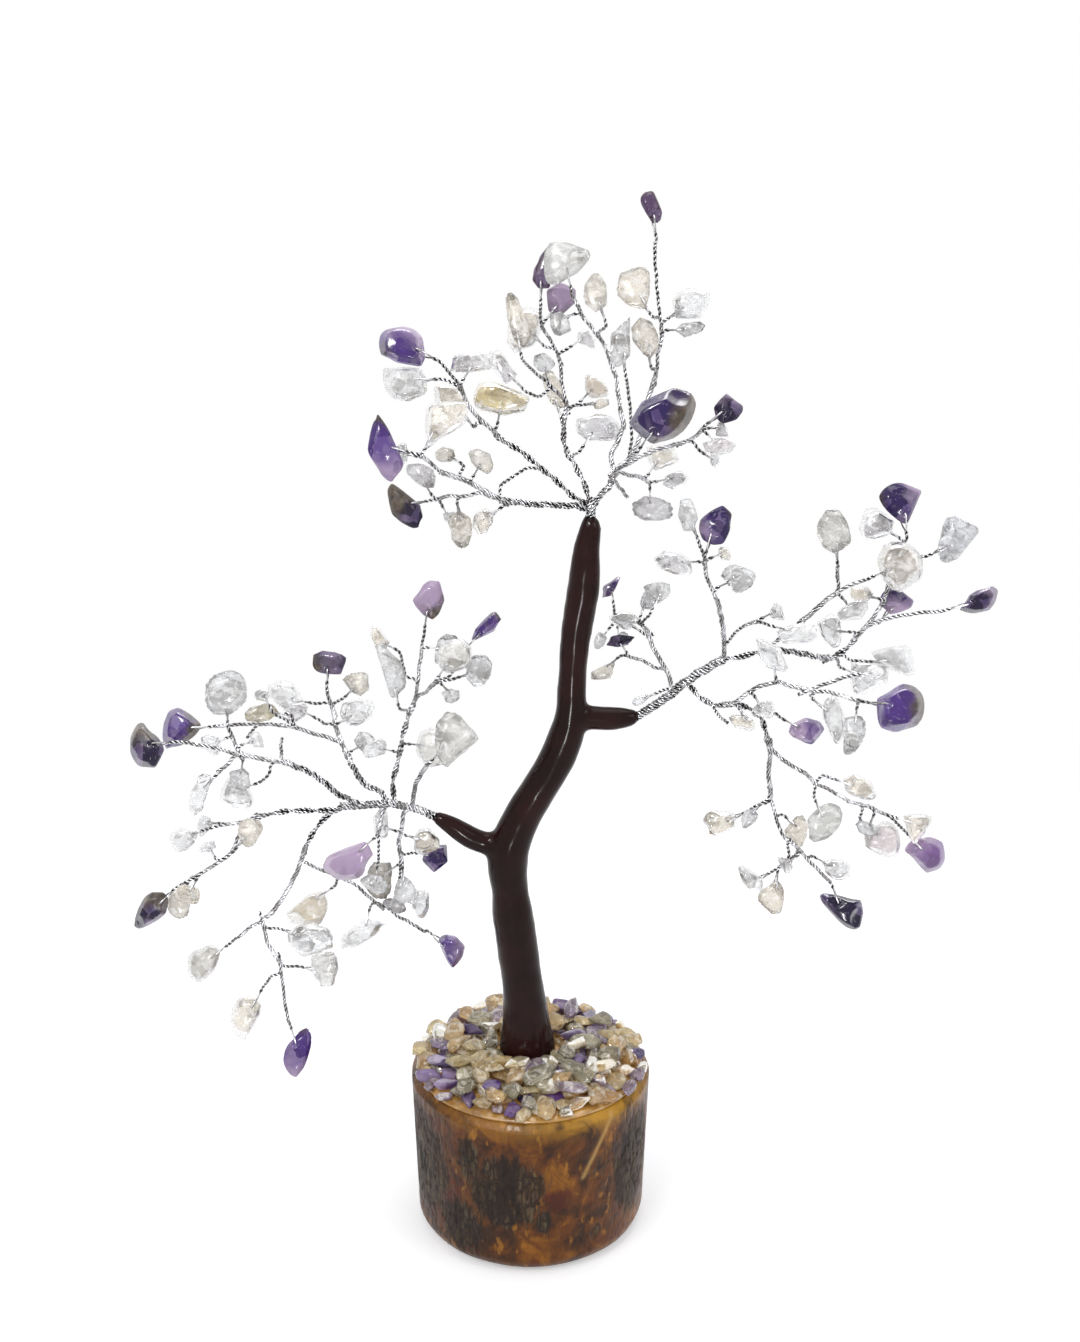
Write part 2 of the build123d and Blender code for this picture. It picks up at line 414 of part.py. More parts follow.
# The outlines of the stones that show best, by their centres
OUTLINES_pixels = {
    (401, 345): [(380, 334), (388, 327), (400, 325), (413, 327), (423, 336), (426, 358), (421, 367),
        (396, 363), (382, 361), (378, 346)],
    (383, 447): [(377, 412), (388, 427), (395, 444), (407, 470), (408, 480), (403, 483), (388, 482),
        (374, 468), (367, 450), (371, 426)],
    (407, 505): [(386, 489), (391, 482), (399, 487), (414, 501), (424, 508), (428, 517), (424, 527),
        (413, 529), (401, 523), (391, 514), (388, 503)],
    (542, 272): [(549, 245), (555, 250), (553, 275), (549, 291), (540, 291), (532, 280), (534, 267),
        (539, 257)],
    (556, 308): [(541, 291), (557, 288), (571, 294), (571, 308), (560, 318), (553, 325), (543, 318),
        (541, 304)],
    (653, 219): [(651, 201), (656, 203), (661, 213), (665, 224), (662, 235), (656, 237), (650, 229),
        (642, 216), (642, 209), (646, 204)],
    (663, 417): [(628, 420), (635, 405), (645, 399), (665, 391), (676, 387), (690, 391), (697, 403),
        (693, 419), (684, 432), (663, 446), (654, 446), (640, 433), (631, 428)],
    (718, 416): [(716, 400), (724, 407), (733, 413), (733, 419), (726, 428), (713, 432), (705, 427),
        (703, 415), (708, 408)],
    (428, 601): [(412, 600), (421, 586), (429, 580), (440, 581), (445, 600), (440, 613), (433, 624),
        (428, 621), (421, 611), (414, 605)],
    (328, 672): [(311, 676), (312, 664), (318, 660), (331, 662), (344, 663), (346, 670), (340, 685),
        (330, 685), (320, 684), (314, 681)],
    (150, 745): [(131, 743), (136, 728), (140, 722), (148, 721), (156, 731), (166, 741), (170, 750),
        (161, 768), (152, 769), (143, 766), (136, 758)],
    (186, 729): [(166, 737), (167, 722), (172, 710), (181, 706), (191, 711), (205, 723), (205, 728),
        (199, 736), (185, 746), (173, 755), (169, 748)],
    (149, 911): [(133, 924), (138, 908), (145, 896), (152, 891), (164, 891), (169, 897), (167, 913),
        (158, 921), (147, 927), (139, 930), (134, 928)],
    (299, 1052): [(283, 1060), (286, 1043), (295, 1034), (304, 1028), (310, 1028), (313, 1034),
        (310, 1052), (305, 1067), (297, 1077), (291, 1075), (285, 1067)],
    (449, 948): [(433, 936), (441, 931), (452, 932), (462, 942), (461, 951), (455, 960), (449, 966),
        (444, 961), (438, 949)],
    (350, 859): [(322, 868), (327, 856), (340, 849), (354, 845), (367, 839), (374, 845), (377, 854),
        (370, 868), (360, 878), (345, 881), (335, 879), (328, 872)],
    (435, 857): [(422, 856), (430, 850), (436, 845), (447, 844), (448, 862), (440, 868), (434, 873),
        (429, 868), (422, 861)],
    (612, 590): [(618, 576), (622, 578), (620, 583), (611, 594), (605, 604), (601, 597), (603, 586),
        (611, 581)],
    (623, 647): [(610, 652), (614, 643), (624, 641), (640, 643), (634, 650), (622, 654)],
    (714, 529): [(722, 508), (731, 517), (731, 528), (727, 540), (722, 548), (711, 549), (701, 543),
        (697, 532), (699, 522), (710, 513)],
    (899, 502): [(877, 497), (882, 489), (892, 483), (902, 482), (924, 490), (918, 501), (912, 511),
        (908, 524), (903, 524), (888, 514), (881, 506)],
    (977, 600): [(955, 609), (961, 601), (971, 593), (982, 587), (990, 585), (997, 590), (995, 602),
        (989, 611), (982, 614), (968, 614)],
    (880, 622): [(862, 626), (863, 618), (868, 611), (875, 607), (884, 610), (892, 616), (899, 622),
        (896, 629), (884, 634), (872, 636), (865, 632)],
    (806, 731): [(788, 732), (791, 724), (806, 717), (820, 721), (825, 729), (818, 739), (812, 745),
        (803, 743), (793, 738)],
    (891, 706): [(867, 697), (877, 689), (895, 681), (906, 684), (914, 692), (916, 703), (913, 717),
        (904, 728), (884, 732), (870, 727), (867, 719)],
    (926, 854): [(903, 850), (908, 841), (921, 835), (934, 837), (943, 842), (946, 853), (946, 862),
        (941, 870), (928, 874), (920, 867), (912, 858)],
    (842, 911): [(819, 895), (824, 893), (843, 896), (861, 899), (864, 914), (861, 926), (855, 930),
        (847, 928), (839, 922), (829, 911), (821, 901)],
    (405, 382): [(383, 372), (388, 366), (420, 368), (426, 378), (426, 390), (419, 399),
        (405, 402), (394, 400), (385, 388)],
    (468, 372): [(439, 370), (455, 366), (480, 365), (498, 366), (499, 378), (462, 384),
        (440, 383)],
    (454, 402): [(434, 385), (447, 382), (458, 388), (466, 398), (474, 410), (472, 417),
        (460, 421), (452, 420), (440, 410), (435, 400)],
    (503, 396): [(465, 390), (478, 384), (495, 383), (510, 388), (525, 395), (540, 405),
        (530, 410), (503, 415), (488, 412), (475, 408), (466, 398)],
    (500, 364): [(488, 352), (500, 350), (519, 378), (517, 383), (505, 384), (488, 362)],
    (428, 445): [(406, 430), (415, 426), (435, 426), (449, 428), (449, 440), (444, 450),
        (420, 466), (410, 469), (405, 455)],
    (403, 453): [(397, 444), (407, 442), (409, 450), (409, 465), (404, 468), (398, 460),
        (394, 448)],
    (446, 455): [(435, 452), (443, 447), (454, 449), (456, 455), (452, 461), (441, 462),
        (436, 459)],
    (477, 470): [(463, 462), (472, 459), (484, 464), (488, 474), (484, 484), (474, 481),
        (466, 472)],
    (425, 484): [(412, 472), (425, 471), (437, 476), (440, 485), (438, 495), (428, 494),
        (420, 489), (411, 480)],
    (441, 504): [(436, 502), (447, 500), (446, 507), (442, 512), (437, 508)],
    (463, 528): [(450, 515), (460, 512), (470, 518), (473, 530), (468, 545), (461, 549),
        (452, 540), (447, 526)],
    (485, 520): [(474, 514), (484, 508), (493, 512), (493, 522), (487, 533), (480, 536),
        (473, 526)],
    (514, 313): [(505, 284), (510, 281), (524, 312), (530, 328), (528, 343), (520, 348),
        (512, 335), (507, 315)],
    (545, 347): [(531, 334), (545, 328), (556, 330), (563, 338), (560, 350), (555, 362),
        (545, 372), (535, 373), (527, 362), (528, 345)],
    (585, 337): [(578, 332), (588, 328), (596, 340), (597, 349), (588, 348), (578, 342)],
    (562, 421): [(552, 408), (562, 404), (570, 412), (575, 425), (576, 440), (570, 445),
        (562, 438), (556, 425)],
    (595, 386): [(585, 376), (592, 373), (602, 381), (612, 391), (608, 396), (590, 398),
        (586, 394)],
    (600, 403): [(593, 402), (600, 399), (608, 398), (609, 405), (601, 409), (595, 409)],
    (595, 428): [(573, 430), (577, 420), (592, 414), (608, 414), (618, 422), (623, 432),
        (619, 438), (608, 441), (592, 442), (578, 436)],
    (567, 271): [(548, 262), (553, 254), (566, 253), (580, 258), (590, 262), (592, 268),
        (578, 285), (560, 294), (550, 293), (546, 280)],
    (570, 316): [(561, 308), (572, 305), (580, 315), (582, 325), (575, 332), (566, 330),
        (562, 322)],
    (596, 295): [(585, 285), (592, 274), (600, 270), (606, 280), (607, 300), (604, 312),
        (597, 317), (588, 310), (584, 298)],
    (635, 290): [(617, 290), (621, 272), (632, 266), (645, 266), (650, 275), (649, 295),
        (645, 308), (638, 314), (625, 305), (619, 298)],
    (622, 345): [(610, 350), (611, 335), (620, 322), (630, 318), (630, 355), (620, 365),
        (614, 367), (610, 360)],
    (647, 333): [(630, 330), (640, 318), (652, 322), (658, 335), (658, 350), (650, 358),
        (640, 352), (632, 342)],
    (692, 303): [(673, 300), (680, 290), (690, 288), (711, 292), (708, 305), (700, 318),
        (688, 319), (676, 318)],
    (676, 330): [(661, 331), (668, 324), (685, 322), (697, 324), (690, 330), (678, 336),
        (670, 338)],
    (714, 440): [(696, 440), (710, 435), (727, 434), (732, 440), (727, 448), (715, 451),
        (705, 450), (697, 444)],
    (719, 427): [(714, 430), (717, 421), (721, 420), (726, 430), (727, 437), (713, 437)],
    (714, 460): [(711, 452), (720, 452), (720, 463), (714, 468), (710, 462)],
    (655, 464): [(642, 455), (655, 452), (668, 455), (674, 468), (665, 474), (650, 478),
        (644, 470)],
    (678, 477): [(665, 474), (680, 471), (688, 477), (683, 486), (672, 490), (662, 485)],
    (650, 507): [(632, 500), (645, 494), (660, 496), (672, 502), (672, 515), (658, 518),
        (645, 518), (634, 512)],
    (377, 640): [(371, 628), (375, 623), (380, 628), (390, 642), (385, 650), (378, 652),
        (373, 642), (370, 635)],
    (393, 672): [(376, 646), (385, 643), (392, 648), (400, 660), (405, 674), (406, 690),
        (400, 698), (391, 697), (386, 682)],
    (434, 648): [(427, 636), (435, 632), (444, 634), (446, 641), (441, 649), (435, 658),
        (429, 664), (422, 661), (423, 648)],
    (447, 664): [(432, 664), (436, 654), (446, 648), (458, 648), (465, 656), (465, 670),
        (458, 678), (446, 683), (437, 678), (432, 672)],
    (478, 671): [(466, 664), (474, 655), (486, 656), (492, 664), (490, 676), (483, 686),
        (475, 687), (467, 678)],
    (447, 690): [(437, 688), (446, 684), (455, 686), (455, 694), (449, 699), (441, 697)],
    (445, 747): [(430, 728), (438, 719), (450, 721), (462, 731), (471, 746), (462, 757),
        (450, 768), (441, 775), (432, 765), (428, 748)],
    (418, 745): [(401, 740), (405, 730), (415, 726), (430, 730), (438, 738), (438, 750),
        (430, 762), (415, 766), (403, 758), (400, 748)],
    (388, 750): [(374, 757), (380, 748), (398, 740), (400, 748), (398, 757), (385, 761),
        (378, 762)],
    (358, 685): [(342, 679), (350, 674), (362, 672), (370, 676), (369, 689), (362, 696),
        (352, 692)],
    (358, 713): [(342, 704), (350, 699), (373, 699), (374, 708), (371, 718), (360, 726),
        (349, 725), (341, 716)],
    (357, 748): [(346, 744), (350, 737), (358, 736), (365, 741), (368, 749), (364, 755),
        (356, 757), (349, 751)],
    (227, 702): [(207, 692), (215, 683), (231, 678), (240, 682), (247, 691), (248, 702),
        (243, 712), (230, 722), (214, 722), (206, 712)],
    (226, 738): [(212, 732), (220, 728), (230, 731), (232, 742), (229, 750), (220, 750),
        (213, 744)],
    (244, 744): [(238, 738), (247, 736), (251, 744), (252, 752), (243, 752), (238, 748)],
    (262, 713): [(245, 714), (252, 707), (263, 703), (273, 705), (278, 712), (276, 720),
        (262, 722), (247, 721)],
    (262, 692): [(253, 693), (258, 689), (268, 690), (270, 696), (264, 701), (255, 700)],
    (284, 697): [(268, 696), (269, 684), (278, 680), (290, 681), (300, 690), (303, 700),
        (296, 709), (284, 712)],
    (296, 708): [(282, 712), (292, 704), (304, 702), (310, 708), (306, 715), (296, 723),
        (283, 723)],
    (203, 790): [(198, 770), (208, 767), (213, 774), (210, 790), (206, 806), (198, 812),
        (191, 806), (192, 793)],
    (237, 790): [(221, 793), (225, 782), (232, 776), (239, 776), (246, 784), (253, 798),
        (253, 806), (243, 809), (230, 806), (221, 799)],
    (242, 767): [(231, 760), (245, 757), (252, 764), (253, 775), (245, 779), (233, 775)],
    (187, 835): [(168, 842), (172, 832), (179, 827), (190, 831), (198, 834), (196, 843),
        (190, 849), (180, 852), (171, 850)],
    (207, 823): [(199, 818), (206, 815), (212, 818), (214, 826), (209, 832), (202, 838),
        (198, 830)],
    (233, 852): [(222, 842), (232, 838), (242, 841), (246, 848), (242, 856), (237, 865),
        (230, 867), (224, 862), (221, 852)],
    (214, 856): [(205, 857), (211, 852), (221, 850), (222, 857), (214, 862), (206, 862)],
    (193, 886): [(176, 884), (184, 876), (193, 877), (203, 880), (205, 888), (202, 895),
        (192, 896), (182, 892)],
    (177, 903): [(168, 897), (176, 889), (186, 892), (190, 902), (188, 915), (180, 919),
        (171, 914), (167, 905)],
    (203, 965): [(187, 960), (192, 952), (202, 948), (211, 945), (221, 949), (219, 959),
        (214, 970), (206, 980), (196, 984), (188, 975)],
    (246, 1019): [(232, 1008), (240, 996), (252, 995), (263, 1000), (261, 1012), (252, 1028),
        (243, 1043), (235, 1040), (230, 1025)],
    (303, 907): [(282, 921), (287, 913), (307, 896), (324, 890), (327, 900), (327, 918),
        (318, 926), (286, 926)],
    (310, 938): [(288, 934), (298, 926), (312, 924), (328, 928), (333, 938), (332, 948),
        (304, 958), (292, 953), (287, 945)],
    (325, 972): [(311, 957), (322, 950), (338, 948), (340, 960), (337, 975), (334, 986),
        (320, 987), (312, 975)],
    (364, 932): [(341, 942), (345, 932), (357, 924), (368, 917), (380, 918), (386, 924),
        (380, 932), (357, 947), (343, 949)],
    (393, 830): [(386, 812), (398, 812), (401, 822), (400, 840), (392, 848), (386, 838),
        (385, 824)],
    (416, 838): [(411, 828), (421, 826), (432, 837), (433, 845), (424, 850), (413, 853),
        (406, 847), (406, 836)],
    (388, 872): [(379, 862), (385, 854), (393, 851), (401, 855), (403, 868), (402, 882),
        (396, 891), (385, 890), (377, 880)],
    (375, 885): [(360, 880), (368, 875), (380, 876), (388, 884), (385, 894), (375, 893),
        (365, 887)],
    (404, 890): [(396, 880), (403, 872), (411, 878), (416, 886), (411, 897), (401, 900),
        (393, 893)],
    (418, 902): [(413, 890), (422, 886), (430, 893), (430, 905), (427, 917), (418, 919),
        (412, 908)],
    (487, 625): [(497, 611), (501, 615), (502, 620), (495, 631), (474, 641), (471, 640),
        (475, 629), (484, 619), (492, 612)],
    (660, 593): [(642, 586), (650, 583), (661, 582), (670, 584), (672, 590), (668, 596),
        (658, 604), (653, 601)],
    (646, 600): [(640, 603), (643, 592), (647, 588), (649, 592), (653, 601), (655, 608),
        (648, 609), (642, 608)],
    (643, 633): [(630, 630), (636, 627), (645, 626), (655, 628), (660, 633), (657, 638),
        (652, 644), (645, 644), (631, 637)],
    (618, 634): [(612, 637), (617, 629), (622, 624), (628, 627), (628, 638), (620, 640),
        (614, 640)],
    (600, 640): [(597, 631), (604, 634), (607, 638), (604, 645), (599, 649), (595, 648),
        (594, 642)],
    (603, 671): [(591, 672), (607, 664), (614, 663), (615, 668), (610, 678), (603, 679),
        (592, 680)],
    (640, 700): [(632, 703), (634, 698), (641, 695), (650, 694), (648, 699), (642, 704),
        (636, 706)],
    (688, 515): [(680, 500), (688, 497), (694, 505), (698, 518), (693, 530), (684, 530),
        (678, 515)],
    (692, 562): [(673, 556), (677, 550), (690, 551), (703, 554), (710, 562), (712, 571),
        (707, 577), (700, 576), (678, 567)],
    (716, 556): [(710, 553), (714, 549), (721, 551), (724, 558), (722, 563), (714, 562)],
    (727, 583): [(709, 582), (713, 574), (721, 570), (731, 573), (740, 577), (745, 584),
        (742, 590), (735, 595), (726, 599), (718, 595)],
    (845, 601): [(830, 607), (835, 600), (843, 595), (852, 592), (861, 593), (861, 602),
        (857, 611), (846, 613), (835, 613)],
    (796, 632): [(776, 632), (786, 627), (809, 621), (815, 627), (817, 636), (812, 641),
        (800, 643), (785, 645), (779, 640)],
    (768, 615): [(765, 607), (768, 604), (772, 608), (774, 616), (776, 625), (768, 624),
        (761, 622), (762, 615)],
    (887, 530): [(877, 508), (896, 521), (903, 527), (901, 540), (880, 546), (872, 545),
        (869, 533)],
    (876, 598): [(862, 590), (872, 588), (880, 590), (884, 596), (879, 603), (873, 607),
        (866, 604), (861, 598)],
    (832, 631): [(817, 621), (822, 616), (832, 613), (841, 616), (841, 640), (838, 646),
        (833, 647), (826, 642), (821, 636)],
    (893, 662): [(871, 653), (884, 648), (905, 643), (911, 650), (914, 672), (909, 676),
        (898, 673), (873, 658)],
    (868, 678): [(852, 661), (866, 659), (880, 661), (891, 664), (892, 672), (888, 682),
        (868, 694), (857, 695), (851, 689)],
    (775, 673): [(751, 654), (760, 656), (774, 661), (784, 666), (789, 672), (801, 692),
        (792, 691), (780, 688), (768, 684), (756, 663)],
    (758, 702): [(747, 703), (752, 697), (761, 693), (768, 694), (770, 703), (767, 710),
        (758, 710), (752, 707)],
    (745, 717): [(724, 711), (732, 708), (741, 709), (749, 714), (751, 722), (748, 726),
        (730, 721)],
    (834, 718): [(818, 698), (826, 695), (835, 697), (842, 705), (844, 716), (845, 728),
        (841, 740), (837, 744), (833, 740), (828, 728), (820, 708)],
    (855, 724): [(846, 712), (853, 710), (862, 710), (866, 716), (866, 727), (862, 736),
        (855, 745), (848, 748), (844, 745)],
    (718, 824): [(702, 820), (706, 813), (712, 810), (731, 812), (737, 817), (739, 826),
        (735, 830), (725, 835), (716, 837), (708, 833)],
    (748, 817): [(741, 818), (746, 810), (752, 809), (758, 813), (759, 819), (752, 824),
        (746, 828), (741, 827)],
    (860, 788): [(844, 780), (852, 774), (861, 775), (869, 780), (875, 787), (877, 795),
        (872, 800), (862, 800), (852, 796), (845, 790)],
    (825, 823): [(806, 824), (811, 813), (820, 806), (829, 803), (838, 806), (842, 813),
        (841, 822), (836, 832), (827, 839), (815, 842), (808, 836)],
    (883, 840): [(865, 832), (869, 829), (886, 821), (894, 824), (899, 832), (900, 845),
        (896, 855), (889, 858), (872, 851), (865, 846)],
    (873, 817): [(860, 813), (866, 810), (876, 813), (884, 818), (880, 825), (872, 826),
        (864, 822)],
    (911, 822): [(896, 814), (906, 812), (924, 813), (924, 821), (919, 829), (914, 836),
        (908, 842), (903, 838)],
    (837, 869): [(822, 862), (832, 859), (844, 859), (850, 866), (849, 876), (840, 880),
        (832, 878), (825, 872)],
    (799, 830): [(784, 830), (796, 817), (804, 816), (808, 824), (807, 838), (803, 846),
        (796, 846), (789, 841), (785, 836)],
    (794, 859): [(786, 848), (799, 852), (801, 858), (800, 866), (796, 869), (787, 855)],
    (754, 881): [(737, 868), (740, 864), (746, 867), (761, 876), (766, 884), (764, 892),
        (749, 889), (743, 882)],
    (773, 896): [(772, 882), (779, 878), (784, 884), (784, 900), (781, 912), (773, 914),
        (765, 908), (757, 899), (759, 893)],
    (959, 540): [(945, 516), (952, 516), (979, 529), (978, 533), (950, 568), (943, 566),
        (938, 548)],
    (835, 537): [(826, 517), (838, 517), (848, 530), (852, 548), (847, 558), (836, 560), (824, 553),
        (818, 540), (819, 524)],
    (898, 566): [(885, 545), (898, 541), (912, 546), (921, 556), (923, 570), (917, 584), (905, 592),
        (893, 590), (882, 577), (878, 560)],
}

# The chips in the glue, layer by layer: how far out they reach as a share of the glue's radius,
# then the height that they show at, the most that they are lifted and their size, as shares of
# a chip's length
CHIP_LAYERS = (
    Layer(1.0, 0.0, 0.0, 1.0),
    Layer(1.0, 0.0, 0.0, 0.66),
    Layer(0.86, 0.5, 0.62, 0.92),
)

# Where the violet chips lie in the glue
BASE_AMETHYST_pixels = [
    (444, 1021), (475, 1026), (486, 1016), (478, 1035), (421, 1052), (445, 1059), (481, 1051),
    (498, 1056), (436, 1077), (450, 1087), (456, 1079), (495, 1085), (471, 1099), (514, 1110),
    (531, 1101), (551, 1099), (554, 1036), (572, 1037), (541, 1049), (560, 1067), (577, 1061),
    (571, 1011), (586, 1022), (597, 1026), (626, 1032), (634, 1056), (560, 1010),
]

# The viewpoint's own directions
PITCH = math.radians(VIEW_PITCH)
AHEAD = np.array((0.0, math.cos(PITCH), -math.sin(PITCH)))
RISING = np.array((0.0, math.sin(PITCH), math.cos(PITCH)))
RIGHTWARD = np.array((1.0, 0.0, 0.0))
VIEWPOINT = np.array(VIEWPOINT_shares) * TREE_RISE + np.array((0.0, 0.0, BASE_HEIGHT))


def sight_line(pixel):
    """The direction in which the photograph sees a pixel."""
    across = (pixel[0] - VIEW_CENTRE_pixels[0]) / FOCAL_pixels
    down = (pixel[1] - VIEW_CENTRE_pixels[1]) / FOCAL_pixels
    return AHEAD + across * RIGHTWARD - down * RISING


def from_photo(pixel, depth):
    """The place that shows at a pixel, at a depth behind the trunk's plane."""
    line = sight_line(pixel)
    return VIEWPOINT + line * ((depth - VIEWPOINT[1]) / line[1])


def on_level(pixel, height):
    """The place that shows at a pixel, at a height above the base's underside."""
    line = sight_line(pixel)
    return VIEWPOINT + line * ((height - VIEWPOINT[2]) / line[2])


def to_photo(places):
    """The pixels at which the photograph shows some places."""
    reach = places - VIEWPOINT
    far = reach @ AHEAD
    u = VIEW_CENTRE_pixels[0] + FOCAL_pixels * (reach @ RIGHTWARD) / far
    v = VIEW_CENTRE_pixels[1] - FOCAL_pixels * (reach @ RISING) / far
    return np.stack((u, v), axis=1)


def pixel_size(place):
    """How long one pixel is at a place."""
    return float((place - VIEWPOINT) @ AHEAD) / FOCAL_pixels


def unit(vector):
    return vector / np.linalg.norm(vector)


def wire_radius(strands):
    """A twisted wire's radius, from the strands in it."""
    return STRAND_DIAMETER * math.sqrt(strands / WIRE_PACKING_share) / 2


class Route:
    """Straight runs joined by tangent arcs, which a wire follows."""

    def __init__(self, points, bend=None):
        self.parts = []
        start = points[0]
        for before, corner, after in zip(points, points[1:], points[2:]):
            arrive = unit(corner - before)
            leave = unit(after - corner)
            half_turn = math.acos(max(-1.0, min(1.0, float(arrive @ leave)))) / 2
            if half_turn < math.radians(LEAST_TURN):
                continue
            shorter = min(np.linalg.norm(corner - before), np.linalg.norm(after - corner))
            setback = RUN_share * shorter
            if bend is not None:
                setback = min(setback, bend * math.tan(half_turn))
            inward = unit(leave - arrive)
            radius = setback / math.tan(half_turn)
            first = corner - arrive * setback
            last = corner + leave * setback
            centre = corner + inward * (radius / math.cos(half_turn))
            self.parts.append((start, first))
            self.parts.append((first, centre - inward * radius, last, centre, half_turn))
            start = last
        self.parts.append((start, points[-1]))

    def samples(self):
        """Points along the route, about one strand apart."""
        rows = [self.parts[0][0]]
        for part in self.parts:
            length = np.linalg.norm(part[-1 if len(part) == 2 else 2] - part[0])
            count = max(1, math.ceil(length / STRAND_DIAMETER))
            for step in range(1, count + 1):
                share = step / count
                if len(part) == 2:
                    rows.append(part[0] + (part[1] - part[0]) * share)
                    continue
                turn = 2 * part[4]
                spokes = (part[0] - part[3], part[2] - part[3])
                weights = (math.sin((1 - share) * turn), math.sin(share * turn))
                rows.append(part[3] + (spokes[0] * weights[0] + spokes[1] * weights[1])
                            / math.sin(turn))
        return np.array(rows)

    def solid(self, radius):
        """The round wire along the route."""
        edges = []
        for part in self.parts:
            ends = [Vector(*point) for point in part[:3]]
            edges.append(Edge.make_line(*ends) if len(part) == 2
                         else Edge.make_three_point_arc(*ends))
        path = Wire(edges)
        start = Plane(origin=path @ 0, z_dir=path % 0)
        return sweep(start * Circle(radius), path=path).solids()[0]


class Neighbours:
    """What is in place already: beads along each wire and the convex stones."""

    def __init__(self):
        self.beads = np.zeros((0, 3))
        self.radii = np.zeros(0)
        self.owners = np.array([], dtype="<U8")
        self.stones = []

    def add_wire(self, route, radius, limb):
        places = route.samples()
        before = np.linalg.norm(places - places[0], axis=1)
        after = np.linalg.norm(places - places[-1], axis=1)
        inside = (before >= radius * WIRE_START_share) & (after >= radius * WIRE_END_share)
        self.add_beads(places[inside], radius, limb)

    def add_beads(self, places, radius, limb):
        self.beads = np.vstack((self.beads, places))
        self.radii = np.append(self.radii, np.full(len(places), radius))
        self.owners = np.append(self.owners, np.full(len(places), limb))

    def wire_gaps(self, places, radius, limb):
        """For each place on a wire, the gap to the nearest wire, less what it has to keep."""
        if not len(self.beads):
            return np.full(len(places), np.inf)
        keep = np.where(self.owners == limb, WIRE_GAP, LIMB_GAP)
        apart = np.linalg.norm(places[:, None, :] - self.beads[None, :, :], axis=2)
        return (apart - self.radii - keep - radius).min(axis=1)

    def stone_gap(self, places, radius, limb):
        """The least gap between a wire and the stones, less what it has to keep."""
        least = np.inf
        for shape, owner in self.stones:
            keep = STONE_GAP if owner == limb else LIMB_GAP
            outside = (places @ shape.normals.T - shape.offsets).max(axis=1)
            least = min(least, float(outside.min()) - radius - keep)
        return least

    def shape_gap(self, shape, limb):
        """The least gap between a stone and everything in place, less what it has to keep."""
        keep = np.where(self.owners == limb, STONE_GAP, LIMB_GAP)
        outside = (self.beads @ shape.normals.T - shape.offsets).max(axis=1)
        least = float((outside - self.radii - keep).min())
        for other, owner in self.stones:
            between = other.corners.mean(axis=0) - shape.corners.mean(axis=0)
            axes = np.vstack((shape.normals, -other.normals, unit(between)))
            gaps = (other.corners @ axes.T).min(axis=0) - (shape.corners @ axes.T).max(axis=0)
            least = min(least, float(gaps.max()) - (STONE_GAP if owner == limb else LIMB_GAP))
        return least


def convex(corners):
    """A convex stone's corners, its faces' directions and how far out they lie."""
    hull = ConvexHull(corners)
    return Shape(corners[hull.vertices], hull.equations[:, :3], -hull.equations[:, 3])


def outlined_corners(gem):
    """A chip's corners in pixels about its middle, from its picked outline."""
    rows = []
    thick = min(gem.size_pixels) * STONE_THICKNESS_share
    for side, (share, level) in ((0, (1.0, 0.0)), (1, FRONT_RING_shares), (-1, FRONT_RING_shares)):
        for u, v in OUTLINES_pixels[gem.centre_pixels]:
            across = (u - gem.centre_pixels[0]) * share
            up = (gem.centre_pixels[1] - v) * share
            rows.append((across, up, side * level * thick))
        if side:
            rows.append((0.0, 0.0, side * POLE_share * thick))
    return np.array(rows)


def chip_corners(chance, length, width):
    """A tumbled chip's corners about its middle: its outline, and a ring and a pole each side."""
    rows = []
    thick = width * STONE_THICKNESS_share
    offset = chance.uniform(0, math.tau)
    taper = chance.uniform(-STONE_LUMP_share, STONE_LUMP_share) * 2
    for side, (share, level) in ((0, (1.0, 0.0)), (1, FRONT_RING_shares), (-1, FRONT_RING_shares)):
        for point in range(OUTLINE_POINTS):
            angle = offset + math.tau * (point + side / 2) / OUTLINE_POINTS
            out = share * (1 + chance.uniform(-STONE_LUMP_share, STONE_LUMP_share))
            x = out * math.cos(angle) / 2
            y = out * math.sin(angle) / 2
            rows.append((x * length, y * width * (1 + taper * x), side * level * thick))
        if side:
            rows.append((0.0, 0.0, side * POLE_share * thick))
    return np.array(rows)


def stone_axes(tilt, chance):
    """A chip's own directions: its length, its width and its thickness towards the viewer."""
    angle = math.radians(tilt)
    long_way = math.cos(angle) * RIGHTWARD + math.sin(angle) * RISING
    wide_way = -math.sin(angle) * RIGHTWARD + math.cos(angle) * RISING
    lean = [chance.uniform(-LEAN_share, LEAN_share) for _ in range(2)]
    toward = unit(-AHEAD + lean[0] * long_way + lean[1] * wide_way)
    long_way = unit(long_way - (long_way @ toward) * toward)
    return np.array((long_way, np.cross(toward, long_way), toward))


def surface_height(shape, place, way):
    """How far a convex stone's face lies from a place inside it, one way."""
    slopes = shape.normals @ way
    facing = slopes > EDGE_ON
    return float(((shape.offsets - shape.normals @ place)[facing] / slopes[facing]).min())


